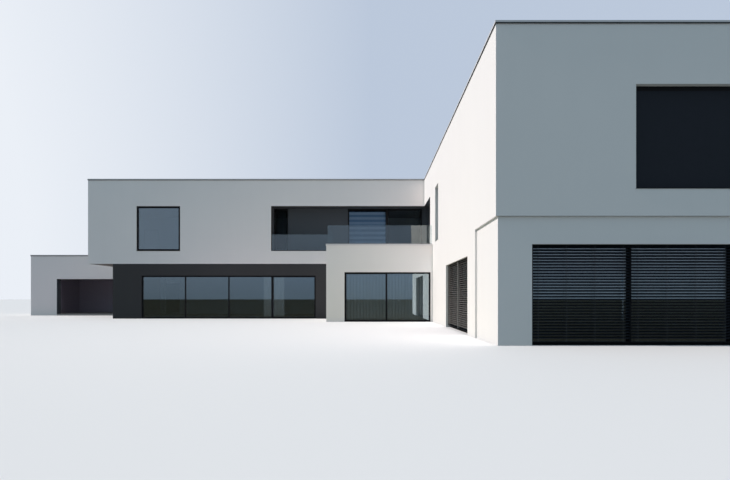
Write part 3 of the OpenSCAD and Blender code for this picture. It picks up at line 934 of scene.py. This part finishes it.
class Shape:
    """A mesh in the making. Its parts are added in the axes of place."""

    def __init__(self, place: Matrix | None = None) -> None:
        """Starts an empty mesh.

        Args:
            place: Axes that the next parts are given in, the house's own by default.
        """
        self.mesh = bmesh.new()
        self.place = place or Matrix.Identity(4)

    def at(self, opening: Opening) -> "Shape":
        """Gives the next parts in the axes of an opening."""
        self.place = opening.place
        return self

    def block(self, lo: Iterable[float], hi: Iterable[float], edge: float = 0.0) -> list[bmesh.types.BMFace]:
        """Adds a box.

        Args:
            lo: Lowest corner.
            hi: Highest corner.
            edge: Size of its rounded edges.

        Returns:
            Its faces.
        """
        box = Box(Vector(lo), Vector(hi))
        matrix = self.place @ Matrix.Translation(box.mid) @ Matrix.Diagonal((*box.size, 1.0))
        verts = bmesh.ops.create_cube(self.mesh, size=1.0, matrix=matrix)["verts"]
        if edge > 0:
            edges = list({item for vertex in verts for item in vertex.link_edges})
            made = bmesh.ops.bevel(
                self.mesh, geom=edges, offset=edge, segments=2, profile=0.5, affect="EDGES", material=-1
            )
            return made["faces"]
        return list({face for vertex in verts for face in vertex.link_faces})

    def bar(self, along: Pair, out: Pair, up: Pair, edge: float = 0.0) -> None:
        """Adds a box that is centred through the wall.

        Args:
            along: Its two ends along the wall.
            out: Its middle through the wall and its thickness.
            up: Its foot and its top.
            edge: Size of its rounded edges.
        """
        middle, thick = out
        self.block(
            (min(along), middle - thick / 2, up[0]), (max(along), middle + thick / 2, up[1]), edge
        )

    def prism(self, outline: list[Pair], start: float, end: float) -> None:
        """Pushes an outline along the opening.

        Args:
            outline: Corners as out and up.
            start: Where it starts along the wall.
            end: Where it ends.
        """
        verts = [self.mesh.verts.new(self.place @ Vector((start, out, up))) for out, up in outline]
        face = self.mesh.faces.new(verts)
        made = bmesh.ops.extrude_face_region(self.mesh, geom=[face], use_keep_orig=True)
        moved = [item for item in made["geom"] if isinstance(item, bmesh.types.BMVert)]
        travel = self.place.to_3x3() @ Vector((end - start, 0, 0))
        bmesh.ops.translate(self.mesh, verts=moved, vec=travel)

    def ring(self, lo: Pair, hi: Pair, outs: tuple[float, float, float], width: float) -> None:
        """Adds a rectangular ring with a sloping front.

        Args:
            lo: Lowest outer corner, as along and up.
            hi: Highest outer corner.
            outs: Back, front at its outer edge and front at its inner edge, along the out axis.
            width: Width of its four sides.
        """
        back, front, inner_front = outs
        corners = [(lo[0], lo[1]), (hi[0], lo[1]), (hi[0], hi[1]), (lo[0], hi[1])]
        verts = [self.mesh.verts.new(self.place @ Vector((along, back, up))) for along, up in corners]
        face = self.mesh.faces.new(verts)
        face.normal_update()
        made = bmesh.ops.inset_individual(self.mesh, faces=[face], thickness=width, use_even_offset=True)
        sides = made["faces"]
        inner = set(face.verts)
        inner_places = [vertex.co.copy() for vertex in inner]
        bmesh.ops.delete(self.mesh, geom=[face], context="FACES_ONLY")
        made = bmesh.ops.extrude_face_region(self.mesh, geom=sides, use_keep_orig=True)
        out = self.place.to_3x3() @ Vector((0, 1, 0))
        for vertex in made["geom"]:
            if isinstance(vertex, bmesh.types.BMVert):
                near = min((vertex.co - place).length for place in inner_places)
                vertex.co += out * ((inner_front if near < WELD else front) - back)

    def rings(self, pane: Opening, inset: float, outs: Pair, width: float) -> None:
        """Adds a ring on both faces of a pane.

        Args:
            pane: The pane.
            inset: How far the rings start from its edge.
            outs: How far they stand proud at their outer and their inner edge.
            width: Width of their sides.
        """
        self.at(pane)
        reach = pane.width / 2 - inset
        for sign, foot in ((1, 0.0), (-1, -pane.depth)):
            self.ring(
                (-reach, inset), (reach, pane.height - inset),
                (foot, foot + sign * outs[0], foot + sign * outs[1]), width
            )

    def rod(self, start: Iterable[float], end: Iterable[float], radius: float, sides: int) -> None:
        """Adds a round rod.

        Args:
            start: Middle of one end.
            end: Middle of the other end.
            radius: Its radius.
            sides: Number of its sides.
        """
        a = Vector(start)
        way = Vector(end) - a
        turn = Vector((0, 0, 1)).rotation_difference(way).to_matrix().to_4x4()
        matrix = self.place @ Matrix.Translation(a + way / 2) @ turn
        bmesh.ops.create_cone(
            self.mesh, cap_ends=True, segments=sides, radius1=radius, radius2=radius,
            depth=way.length, matrix=matrix
        )

    def turned(self, outline: Iterable[Pair], centre: Vector, steps: int = 24) -> None:
        """Spins an outline round an upright axis.

        Args:
            outline: Points as radius and height, the first and last on the axis.
            centre: Foot of the axis.
            steps: Number of steps of the full turn.
        """
        verts = [self.mesh.verts.new(centre + Vector((radius, 0, up))) for radius, up in outline]
        edges = [self.mesh.edges.new(pair) for pair in zip(verts, verts[1:])]
        before = set(self.mesh.verts) - set(verts)
        bmesh.ops.spin(
            self.mesh, geom=verts + edges, cent=centre, axis=(0, 0, 1), angle=math.tau,
            steps=steps, use_merge=True
        )
        new = [vertex for vertex in self.mesh.verts if vertex not in before]
        bmesh.ops.remove_doubles(self.mesh, verts=new, dist=WELD)

    def finish(self, name: str, look: Look, body: str = HOUSE, instead: tuple[str, ...] = (),
               angle: float = 35.0) -> bpy.types.Object:
        """Makes the mesh a finished piece.

        Args:
            name: The piece's name.
            look: Its material and slot.
            body: The body that it rides on.
            instead: The CAD nodes that it replaces.
            angle: Steepest bend, in degrees, that is shaded smooth.

        Returns:
            The piece.
        """
        bmesh.ops.recalc_face_normals(self.mesh, faces=self.mesh.faces)
        data = bpy.data.meshes.new(name)
        self.mesh.to_mesh(data)
        self.mesh.free()
        data.shade_smooth()
        data.set_sharp_from_angle(angle=math.radians(angle))
        for material in look.materials:
            data.materials.append(material)
        piece = placed(name, data)
        piece.modifiers.new("flat_faces", "WEIGHTED_NORMAL").keep_sharp = True
        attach(piece, body)
        if instead:
            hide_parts(*instead)
        log.info("%s: %d faces", name, len(data.polygons))
        return piece


@dataclass(frozen=True)
class WindowTrim:
    """Sills, glazing beads and gaskets of the fixed windows."""

    plan: Plan
    bead_w: float = 0.009
    bead_out: float = 0.019
    bead_slope: float = 0.007
    gasket_w: float = 0.004
    gasket_out: float = 0.003
    sill_nose: float = 0.014
    sill_drop: float = 0.004
    sill_t: float = 0.003
    sill_rise: float = 0.014
    sill_end: float = 0.015
    sill_lap: float = 0.001

    def reveal(self, frame_box: Box, side: Side) -> float:
        """How deep a frame stands behind the wall's outer face.

        Args:
            frame_box: Box of the window frame.
            side: The side that it looks to.

        Returns:
            The depth in metres.
        """
        if side is Side.REAR:
            return self.plan.rear - frame_box.hi.y
        if side is Side.EAST:
            return self.plan.wing.hi.x - frame_box.hi.x
        if side is Side.WEST:
            return frame_box.lo.x - self.plan.wing_west.lo.x
        if frame_box.mid.x > self.plan.wing_west.hi.x:
            return frame_box.lo.y - self.plan.wing_front.lo.y
        return frame_box.lo.y - self.plan.long_front.lo.y

    def sills(self, look: Look) -> None:
        """Adds a folded metal sill under each window with a wall below it."""
        shape = Shape()
        floor = node_box("upper_floor").hi.z
        for box in solids("upper_frames"):
            if box.lo.z < floor + WELD:
                continue
            side = self.plan.side_of(box)
            opening = Opening(box, side)
            reach = self.reveal(box, side)
            half = opening.width / 2
            tip = reach + self.sill_nose
            t = self.sill_t
            shape.at(opening)
            shape.prism(
                [(0, self.sill_rise), (reach, 2 * t), (reach, t), (0, self.sill_rise - t)], -half, half
            )
            lap = reach + self.sill_lap
            drop = self.sill_drop
            nose = [
                (reach, 2 * t), (tip, t), (tip, -drop), (tip - t, -drop),
                (tip - t, 0), (lap, 0), (lap, -drop / 2), (reach, -drop / 2)
            ]
            shape.prism(nose, -half - self.sill_end, half + self.sill_end)
        shape.finish("window_sills", look)

    def beads(self, bead: Look, gasket: Look) -> None:
        """Adds the glazing beads and gaskets on both faces of every fixed pane."""
        beads = Shape()
        gaskets = Shape()
        for name in ("ground_glass", "upper_glass"):
            for box in solids(name):
                pane = Opening(box, self.plan.side_of(box))
                beads.rings(pane, 0.0, (self.bead_out, self.bead_out - self.bead_slope), self.bead_w)
                gaskets.rings(
                    pane, self.bead_w, (self.gasket_out, self.gasket_out / 2), self.gasket_w
                )
        beads.finish("glazing_beads", bead)
        gaskets.finish("glazing_gaskets", gasket)


@dataclass(frozen=True)
class SlidingDoor:
    """Pull handle, outer finger pull, glazing gaskets and track of one sliding door."""

    leaf: str
    glass: str
    fixed: str
    body: str
    lock_end: int
    handle_low: float = 0.95
    handle_high: float = 1.27
    handle_reach: float = 0.052
    bar_r: float = 0.010
    post_in: float = 0.04
    post_r: float = 0.0075
    rose_r: float = 0.015
    rose_t: float = 0.004
    bar_sides: int = 20
    post_sides: int = 16
    plate_half_w: float = 0.014
    plate_half_h: float = 0.09
    plate_t: float = 0.002
    plate_rim: float = 0.004
    seal_w: float = 0.012
    seal_slope: float = 0.004
    gap: float = 0.008
    channel: float = 0.012
    track_h: float = 0.003
    track_w: float = 0.010

    def build(self, metal: Look, gasket: Look) -> None:
        """Makes the door's fittings."""
        box = node_box(self.leaf)
        leaf = Opening(box, Side.FRONT)
        stile = node_box(self.glass).lo.x - box.lo.x
        lock = -self.lock_end * (leaf.width - stile) / 2
        inner = -leaf.depth
        grip = Shape().at(leaf)
        low = self.handle_low - box.lo.z
        high = self.handle_high - box.lo.z
        rail = inner - self.handle_reach
        grip.rod((lock, rail, low), (lock, rail, high), self.bar_r, self.bar_sides)
        for up in (low + self.post_in, high - self.post_in):
            grip.rod((lock, inner, up), (lock, rail, up), self.post_r, self.post_sides)
            grip.rod((lock, inner, up), (lock, inner - self.rose_t, up), self.rose_r, self.bar_sides)
        middle = (low + high) / 2
        grip.ring(
            (lock - self.plate_half_w, middle - self.plate_half_h),
            (lock + self.plate_half_w, middle + self.plate_half_h),
            (0.0, self.plate_t, self.plate_t / 2), self.plate_rim
        )
        grip.finish(f"{self.leaf}_handle", metal, self.body)

        seals = Shape()
        pane = Opening(node_box(self.glass), Side.FRONT)
        seals.rings(pane, 0.0, (self.seal_w, self.seal_slope), self.seal_w)
        seals.finish(f"{self.leaf}_gaskets", gasket, self.body)

        fixed = Opening(node_box(self.fixed), Side.FRONT)
        foot = box.lo.z - self.gap
        middle = fixed.box.lo.y - box.mid.y
        half = fixed.width / 2 - self.channel
        track = Shape().at(fixed)
        track.bar(
            (-half, half), (middle, self.track_w), (foot - self.track_h, foot + self.track_h),
            self.track_h / 3
        )
        track.finish(f"{self.fixed}_track", metal)


@dataclass(frozen=True)
class SlatBlinds:
    """Outside blinds of curved metal slats, with head box, guides, ladders and bottom rail."""

    plan: Plan
    pitch: float = 0.0736
    slat: float = 0.078
    crown: float = 0.009
    sheet: float = 0.0009
    tilt: float = 30.0
    arc: int = 6
    head: float = 0.03
    head_back: float = 0.002
    head_front: float = 0.004
    head_edge: float = 0.002
    guide_w: float = 0.012
    guide_d: float = 0.070
    guide_edge: float = 0.0015
    rail_h: float = 0.016
    rail_d: float = 0.074
    rail_up: float = 0.004
    rail_edge: float = 0.003
    gap: float = 0.004
    top_room: float = 0.028
    bottom_room: float = 0.02
    ladders: int = 4
    ladder_inset: float = 0.18
    ladder_w: float = 0.004
    ladder_t: float = 0.0012
    tape_w: float = 0.006
    tape_t: float = 0.0008
    cord_up: float = 0.01

    def slat_outline(self) -> list[Pair]:
        """Outline of one slat across its length, tilted with its outer edge low."""
        turn = math.radians(-self.tilt)
        points = []
        for lift in (0.0, -self.sheet):
            row = []
            for step in range(self.arc + 1):
                across = (step / self.arc - 0.5) * self.slat
                rise = self.crown * (1 - (2 * across / self.slat) ** 2) + lift
                row.append((
                    across * math.cos(turn) - rise * math.sin(turn),
                    across * math.sin(turn) + rise * math.cos(turn),
                ))
            points.extend(row if lift == 0 else reversed(row))
        return points

    def build(self, slats: Look, metal: Look, guide: Look, cord: Look) -> None:
        """Makes the blinds in the place of their CAD solids."""
        rows = Shape()
        frames = Shape()
        guides = Shape()
        cords = Shape()
        outline = self.slat_outline()
        for box in solids("slat_blinds"):
            opening = Opening(box, self.plan.side_of(box))
            half = opening.width / 2
            middle = -opening.depth / 2
            top = opening.height - self.head
            for shape in (rows, frames, guides, cords):
                shape.at(opening)
            frames.block(
                (-half, -opening.depth + self.head_back, top), (half, -self.head_front, opening.height),
                self.head_edge
            )
            for end in (-1, 1):
                ends = (end * half, end * (half - self.guide_w))
                guides.bar(ends, (middle, self.guide_d), (0, top), self.guide_edge)
            reach = half - self.guide_w - self.gap
            rail = (self.rail_up, self.rail_up + self.rail_h)
            frames.bar((-reach, reach), (middle, self.rail_d), rail, self.rail_edge)
            count = int((top - self.rail_h - self.bottom_room) / self.pitch)
            first = top - self.top_room - (count - 1) * self.pitch
            for index in range(count):
                up = first + index * self.pitch
                rows.prism([(middle + out, up + rise) for out, rise in outline], -reach, reach)
            span = 2 * (half - self.ladder_inset)
            for index in range(self.ladders):
                along = -span / 2 + span * index / (self.ladders - 1)
                for out, wide, thick in (
                    (middle - self.rail_d / 2, self.ladder_w, self.ladder_t),
                    (middle + self.rail_d / 2, self.ladder_w, self.ladder_t),
                    (middle, self.tape_w, self.tape_t),
                ):
                    ends = (along - wide / 2, along + wide / 2)
                    cords.bar(ends, (out, thick), (self.cord_up, top))
        rows.finish("blind_slats", slats, instead=("slat_blinds",))
        frames.finish("blind_boxes", metal)
        guides.finish("blind_guides", guide)
        cords.finish("blind_ladders", cord)


@dataclass(frozen=True)
class FabricScreen:
    """Zip screen of the wing's upper front window."""

    head: float = 0.11
    head_back: float = 0.003
    guide: float = 0.045
    guide_down: float = 0.004
    edge: float = 0.002
    hem: float = 0.035
    hem_d: float = 0.018
    hem_edge: float = 0.004
    lift: float = 0.022
    gap: float = 0.003
    tuck: float = 0.012
    roll_in: float = 0.02
    cloth_t: float = 0.0012

    def build(self, cloth: Look, metal: Look) -> None:
        """Makes the screen in the place of its CAD solid."""
        opening = Opening(node_box("upper_screen"), Side.FRONT)
        half = opening.width / 2
        top = opening.height
        middle = -opening.depth / 2
        metalwork = Shape().at(opening)
        metalwork.block(
            (-half, -opening.depth - self.head_back, top - self.head), (half, 0.0, top), self.edge
        )
        for end in (-1, 1):
            metalwork.bar(
                (end * half, end * (half - self.guide)), (middle, opening.depth),
                (self.lift - self.guide_down, top - self.head), self.edge
            )
        reach = half - self.guide - self.gap
        hem = (self.lift, self.lift + self.hem)
        metalwork.bar((-reach, reach), (middle, self.hem_d), hem, self.hem_edge)
        metalwork.finish("screen_box_and_guides", metal)

        panel = Shape().at(opening)
        edge = half - self.guide + self.tuck
        bottom = self.lift + self.hem / 2
        head = top - self.head + self.roll_in
        panel.bar((-edge, edge), (middle, self.cloth_t), (bottom, head))
        piece = panel.finish("screen_cloth", cloth, instead=("upper_screen",))
        2 * edge


@dataclass(frozen=True)
class BandedBlind:
    """Double roller blind with alternating bands behind the left loggia pane."""

    head: float = 0.09
    head_back: float = 0.045
    head_front: float = 0.002
    edge: float = 0.004
    hem: float = 0.022
    hem_d: float = 0.012
    hem_in: float = 0.01
    lift: float = 0.012
    cloth_in: float = 0.012
    roll_in: float = 0.01
    cloth_t: float = 0.001

    def build(self, cloth: Look, metal: Look) -> None:
        """Makes the blind in the place of its CAD solid."""
        opening = Opening(node_box("banded_blind"), Side.FRONT)
        half = opening.width / 2
        top = opening.height
        middle = -opening.depth / 2
        box = Shape().at(opening)
        box.block(
            (-half, -self.head_back, top - self.head), (half, -self.head_front, top), self.edge
        )
        reach = half - self.hem_in
        box.bar((-reach, reach), (middle, self.hem_d), (self.lift, self.lift + self.hem), self.edge)
        box.finish("banded_blind_box", metal)
        panel = Shape().at(opening)
        edge = half - self.cloth_in
        bottom = self.lift + self.hem / 2
        head = top - self.head + self.roll_in
        panel.bar((-edge, edge), (middle, self.cloth_t), (bottom, head))
        piece = panel.finish("banded_cloth", cloth, instead=("banded_blind",))


@dataclass(frozen=True)
class Curtain:
    """A curtain hung in folds from a ceiling track. The folds wander and widen on their way down."""

    name: str
    left: float
    right: float
    middle: float
    bottom: float
    top: float
    folds: int
    swing: float
    seed: float
    per_fold: int = 12
    rows: int = 28
    cloth_t: float = 0.0014
    wander: float = 0.8
    wander_down: float = 2.1
    wander_along: float = 5.0
    swing_top: float = 0.55
    swing_down: float = 0.35
    swing_play: float = 0.1
    play_along: float = 9.0
    lean: float = 0.0375
    pinch: float = 0.22

    def fold(self, share: float, drop: float) -> Pair:
        """Place of a point of the cloth.

        Args:
            share: How far along the cloth, from 0 to 1.
            drop: How far down from the track, from 0 to 1.

        Returns:
            Its X and Y.
        """
        turn = math.tau * self.folds * share
        phase = self.wander_down * drop + self.seed + self.wander_along * share
        wander = self.wander * math.sin(phase) * drop
        play = self.swing_play * math.sin(self.seed + self.play_along * share)
        swing = self.swing * (self.swing_top + self.swing_down * drop + play)
        lean = self.lean * math.sin(2 * turn + self.seed)
        y = self.middle + swing * math.sin(turn + wander) * (1.0 - lean)
        width = self.right - self.left
        pinch = self.pinch * width / self.folds * math.sin(2 * turn + wander) * drop
        return self.left + width * share + pinch, y

    def build(self, cloth: Look, track: str, instead: tuple[str, ...] = ()) -> None:
        """Makes the curtain.

        Args:
            cloth: Its material and slot.
            track: The piece that it hangs from; not used.
            instead: The CAD nodes that it replaces.
        """
        shape = Shape()
        columns = self.folds * self.per_fold
        verts = bmesh.ops.create_grid(shape.mesh, x_segments=columns, y_segments=self.rows, size=0.5)["verts"]
        for vertex in verts:
            share = vertex.co.x + 0.5
            drop = 0.5 - vertex.co.y
            x, y = self.fold(share, drop)
            vertex.co = Vector((x, y, self.top - drop * (self.top - self.bottom)))
        piece = shape.finish(self.name, cloth, instead=instead, angle=180.0)
        thick = piece.modifiers.new("cloth", "SOLIDIFY")
        thick.thickness = self.cloth_t
        thick.offset = 0.0


@dataclass(frozen=True)
class GlassRails:
    """Frameless glass panes in a base shoe along the terrace and the loggia."""

    longest: float = 1.85
    gap: float = 0.010
    foot: float = 0.003
    polish: float = 0.0015
    square_on: float = 0.9
    shoe_h: float = 0.045
    shoe_w: float = 0.058
    shoe_edge: float = 0.003
    thick: float = 0.020
    side_set: float = 0.050

    def strips(self) -> list[Box]:
        """The straight strips of the rail, from its CAD solid and the terrace it stands on."""
        rail = node_box("glass_rails")
        thick = self.thick
        left = node_box("garden_lintel").lo.x + self.side_set
        front = Box(Vector((left, rail.lo.y, rail.lo.z)), Vector((rail.hi.x, rail.lo.y + thick, rail.hi.z)))
        side = Box(
            Vector((left, rail.lo.y + thick, rail.lo.z)), Vector((left + thick, rail.hi.y, rail.hi.z))
        )
        back = Box(Vector((rail.lo.x, rail.hi.y - thick, rail.lo.z)), Vector((left, rail.hi.y, rail.hi.z)))
        return [front, side, back]

    def build(self, glass: Look, metal: Look) -> None:
        """Makes the panes and their shoe in the place of the CAD solid."""
        panes = Shape()
        shoe = Shape()
        for box, side in zip(self.strips(), (Side.FRONT, Side.WEST, Side.FRONT)):
            opening = Opening(box, side)
            half = opening.width / 2
            count = math.ceil(opening.width / self.longest)
            panes.at(opening)
            shoe.at(opening)
            pane = (opening.width - (count - 1) * self.gap) / count
            for index in range(count):
                start = -half + index * (pane + self.gap)
                faces = panes.block(
                    (start, -opening.depth, self.foot), (start + pane, 0, opening.height), self.polish
                )
                for face in faces:
                    if abs(face.normal.dot(side.value)) < self.square_on:
                        face.material_index = 1
            spare = (self.shoe_w - opening.depth) / 2
            shoe.block((-half, -opening.depth - spare, 0.0), (half, spare, self.shoe_h), self.shoe_edge)
        panes.finish("rail_panes", glass, instead=("glass_rails",))
        shoe.finish("rail_shoe", metal)


@dataclass(frozen=True)
class RoofEdge:
    """Drip edges and joint covers of the metal copings."""

    pitch: float = 3.0
    cover: float = 0.10
    cover_down: float = 0.002
    cover_edge: float = 0.0007
    sheet: float = 0.0015
    lip_up: float = 0.004
    lip_out: float = 0.007
    lip_down: float = 0.012
    lip_back: float = 0.0072

    def runs(self) -> list[tuple[Box, Side]]:
        """The straight runs of the copings, each with the side that it looks to."""
        main = node_box("copings")
        bar = node_box("bar_front_wall")
        wing = node_box("wing_front_upper_wall")
        garden = node_box("garden_lintel")
        wing_side = node_box("side_front_wall")
        top = main.hi.z
        over = main.hi.x - wing.hi.x
        height = top - wing.hi.z
        side_left = wing_side.lo.x - over
        bar_left = bar.lo.x - over
        bar_front = bar.lo.y - over
        front = wing.lo.y - over
        west = wing.lo.x - over
        east = wing.hi.x + over
        rear = main.hi.y
        step = garden.hi.z + height
        side_top = wing_side.hi.z + height
        strip = wing.size.y + 2 * over

        def run(x0: float, x1: float, y0: float, y1: float, z: float) -> Box:
            """A run between two X and two Y, up to z."""
            return Box(Vector((x0, y0, z - height)), Vector((x1, y1, z)))

        garden_front = garden.lo.y - over
        garden_left = garden.lo.x - over
        side_front = wing_side.lo.y - over
        return [
            (run(bar_left, west, bar_front, bar_front + strip, top), Side.FRONT),
            (run(west, west + strip, front, bar_front, top), Side.WEST),
            (run(west, east, front, front + strip, top), Side.FRONT),
            (run(east - strip, east, front, rear, top), Side.EAST),
            (run(bar_left, east, rear - strip, rear, top), Side.REAR),
            (run(bar_left, bar_left + strip, bar_front, rear, top), Side.WEST),
            (run(garden_left, garden.hi.x, garden_front, garden_front + strip, step), Side.FRONT),
            (run(garden_left, garden_left + strip, garden_front, bar.lo.y, step), Side.WEST),
            (run(side_left, bar.lo.x, side_front, side_front + strip, side_top), Side.FRONT),
            (run(side_left, side_left + strip, side_front, rear, side_top), Side.WEST),
            (run(side_left, bar.lo.x, rear - strip, rear, side_top), Side.REAR),
        ]

    def build(self, look: Look) -> None:
        """Makes the drip edges and joint covers."""
        shape = Shape()
        for box, side in self.runs():
            opening = Opening(box, side)
            half = opening.width / 2
            shape.at(opening)
            lip = [(0, self.lip_up), (self.lip_out, 0), (self.lip_out, -self.lip_down), (0, -self.lip_back)]
            shape.prism(lip, -half, half)
            count = max(1, round(opening.width / self.pitch))
            for index in range(1, count):
                along = -half + opening.width * index / count
                shape.block(
                    (along - self.cover / 2, -opening.depth - self.sheet, -self.cover_down),
                    (along + self.cover / 2, self.sheet, opening.height + self.sheet),
                    self.cover_edge
                )
        shape.finish("coping_joints", look)


@dataclass(frozen=True)
class ShadowDripProfile:
    """Dark drip profile under the front edge of the wing's upper storey, which also stands in for the shadow
    line under the overhang as a painted shadow.
    """

    plan: Plan
    drop: float = 0.007
    thick: float = 0.012
    lap: float = 0.001

    def build(self, look: Look) -> None:
        """Makes the profile."""
        wall = self.plan.wing_front
        shape = Shape()
        shape.block(
            (wall.lo.x - self.lap, wall.lo.y - self.lap, wall.lo.z - self.drop),
            (wall.hi.x + self.lap, wall.lo.y + self.thick, wall.lo.z + self.lap)
        )
        shape.finish("shadow_drip_profile", look)


@dataclass(frozen=True)
class Paving:
    """Concrete slabs with open joints on the roof terrace and in the loggia."""

    slab: float = 0.6
    joint: float = 0.005
    thick: float = 0.04
    edge: float = 0.003
    end_wall: float = 0.10
    stretch: float = 0.05

    def areas(self) -> list[Box]:
        """The paved areas."""
        terrace = node_box("garden_roof")
        loggia = node_box("loggia_ceiling")
        parapet = node_box("loggia_parapet")
        level = terrace.hi.z
        first = Box(Vector((terrace.lo.x, terrace.lo.y, level)), Vector((terrace.hi.x, terrace.hi.y, level)))
        second = Box(
            Vector((loggia.lo.x, parapet.hi.y, level)),
            Vector((loggia.hi.x - self.end_wall, loggia.hi.y, level)),
        )
        return [first, second]

    def build(self, look: Look) -> None:
        """Makes the slabs."""
        shape = Shape()
        for area in self.areas():
            across = max(1, math.ceil(area.size.x / self.slab - self.stretch))
            deep = max(1, math.ceil(area.size.y / self.slab - self.stretch))
            w = area.size.x / across
            d = area.size.y / deep
            for i in range(across):
                for j in range(deep):
                    x = area.lo.x + i * w
                    y = area.lo.y + j * d
                    shape.block(
                        (x + self.joint / 2, y + self.joint / 2, area.lo.z),
                        (x + w - self.joint / 2, y + d - self.joint / 2, area.lo.z + self.thick),
                        self.edge
                    )
        shape.finish("terrace_slabs", look)


@dataclass(frozen=True)
class RoofOutlets:
    """Domed leaf guards of the roof drains, set in from the ends and edges of the three roofs."""

    outline: tuple[Pair, ...] = (
        (0.0, 0.0), (0.16, 0.0), (0.16, 0.012), (0.11, 0.016),
        (0.11, 0.066), (0.088, 0.1056), (0.044, 0.12), (0.0, 0.12),
    )
    long_in: float = 4.0
    wing_in: float = 6.0
    front_in: float = 4.5
    side_in: float = 2.5

    def build(self, look: Look) -> None:
        """Makes the guards on the three roofs."""
        main = node_box("main_roof")
        side = node_box("side_roof")
        wing = node_box("wing_rear_wall")
        shape = Shape()
        y = (node_box("bar_front_wall").lo.y + main.hi.y) / 2
        places = [
            Vector((main.lo.x + self.long_in, y, main.hi.z)),
            Vector((wing.lo.x - self.wing_in, y, main.hi.z)),
            Vector((wing.mid.x, y - self.wing_in, main.hi.z)),
            Vector((wing.mid.x, main.lo.y + self.front_in, main.hi.z)),
            Vector((side.lo.x + self.side_in, side.mid.y, side.hi.z)),
        ]
        for place in places:
            shape.turned(self.outline, place)
        shape.finish("roof_outlets", look)


@dataclass(frozen=True)
class CurtainSet:
    """The pale curtains of the living room and the garden room, with their ceiling tracks."""

    track_h: float = 0.016
    track_w: float = 0.024
    track_in: float = 0.05
    track_edge: float = 0.003
    spare: float = 0.008
    left_gap: float = 0.05
    right_gap: float = 0.04
    sheer_gap: float = 0.03
    sheer_swing: float = 0.8

    def build(self, cloth: Look, sheer: Look, metal: Look) -> None:
        """Makes the curtains and tracks in the place of their CAD solids."""
        living, garden = solids("curtains")
        mullion = node_box("living_leaf").lo.x
        tracks = Shape()
        glazing = node_box("living_frame")
        for left, right, cloth_box in (
            (glazing.lo.x, glazing.hi.x, living),
            (garden.lo.x, garden.hi.x, garden),
        ):
            top = cloth_box.hi.z
            tracks.bar(
                (left + self.track_in, right - self.track_in), (cloth_box.mid.y, self.track_w),
                (top - self.track_h, top), self.track_edge
            )
        tracks.finish("curtain_tracks", metal)
        top = living.hi.z - self.track_h
        garden_top = garden.hi.z - self.track_h
        low = living.lo.z + self.spare
        swing = living.size.y / 2 - self.spare
        Curtain(
            "curtain_left", living.lo.x, mullion - self.left_gap, living.mid.y, low, top,
            folds=6, swing=swing, seed=0.4
        ).build(cloth, "curtain_tracks", ("curtains",))
        Curtain(
            "curtain_right", mullion + self.right_gap, living.hi.x, living.mid.y, low, top,
            folds=7, swing=swing, seed=2.3
        ).build(cloth, "curtain_tracks")
        Curtain(
            "garden_sheer", garden.lo.x + self.sheer_gap, garden.hi.x - self.sheer_gap, garden.mid.y, low,
            garden_top, folds=26, swing=swing * self.sheer_swing, seed=1.1
        ).build(sheer, "curtain_tracks")


def main() -> None:
    """Builds the studio, dresses the CAD nodes and adds the pieces of the house."""
    logging.basicConfig(level=logging.INFO, format="%(name)s: %(message)s")
    Studio().build()
    plan = Plan()
    palette = Palette(plan)
    palette.dress_nodes()
    log.info("dressed %d CAD nodes", len(frame["nodes"]))
    metal = palette.look("frame_metal", "frame_metal")
    rubber = palette.look("frame_metal", "rubber_seal")
    steel = palette.look("frame_metal", "satin_steel")
    sill = palette.look("coping_metal", "sill_sheet")
    linen = palette.look("curtain_fabric", "curtain_linen")
    voile = palette.look("curtain_fabric", "curtain_voile")
    trim = WindowTrim(plan)
    trim.sills(sill)
    trim.beads(metal, rubber)
    SlidingDoor(
        "living_leaf", "living_leaf_glass", "living_frame", "living_door", lock_end=1
    ).build(steel, rubber)
    SlidingDoor(
        "garden_leaf", "garden_leaf_glass", "garden_frame", "garden_door", lock_end=-1
    ).build(steel, rubber)
    SlatBlinds(plan).build(
        palette.look("blind_metal", "slat_metal"),
        palette.look("blind_metal", "frame_metal"),
        palette.look("blind_metal", "guide_metal"),
        palette.look("blind_metal", "ladder_tape"),
    )
    FabricScreen().build(palette.look("screen_fabric", "screen_fabric"), metal)
    BandedBlind().build(palette.look("banded_fabric", "banded_fabric"), metal)
    CurtainSet().build(linen, voile, steel)
    GlassRails().build(palette.look("rail_glass", "rail_glass", "glass_edge"), metal)
    RoofEdge().build(palette.look("coping_metal", "coping_sheet"))
    ShadowDripProfile(plan).build(sill)
    Paving().build(palette.look("floor", "paving_slabs"))
    RoofOutlets().build(metal)
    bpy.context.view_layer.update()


if __name__ == "__main__":
    main()
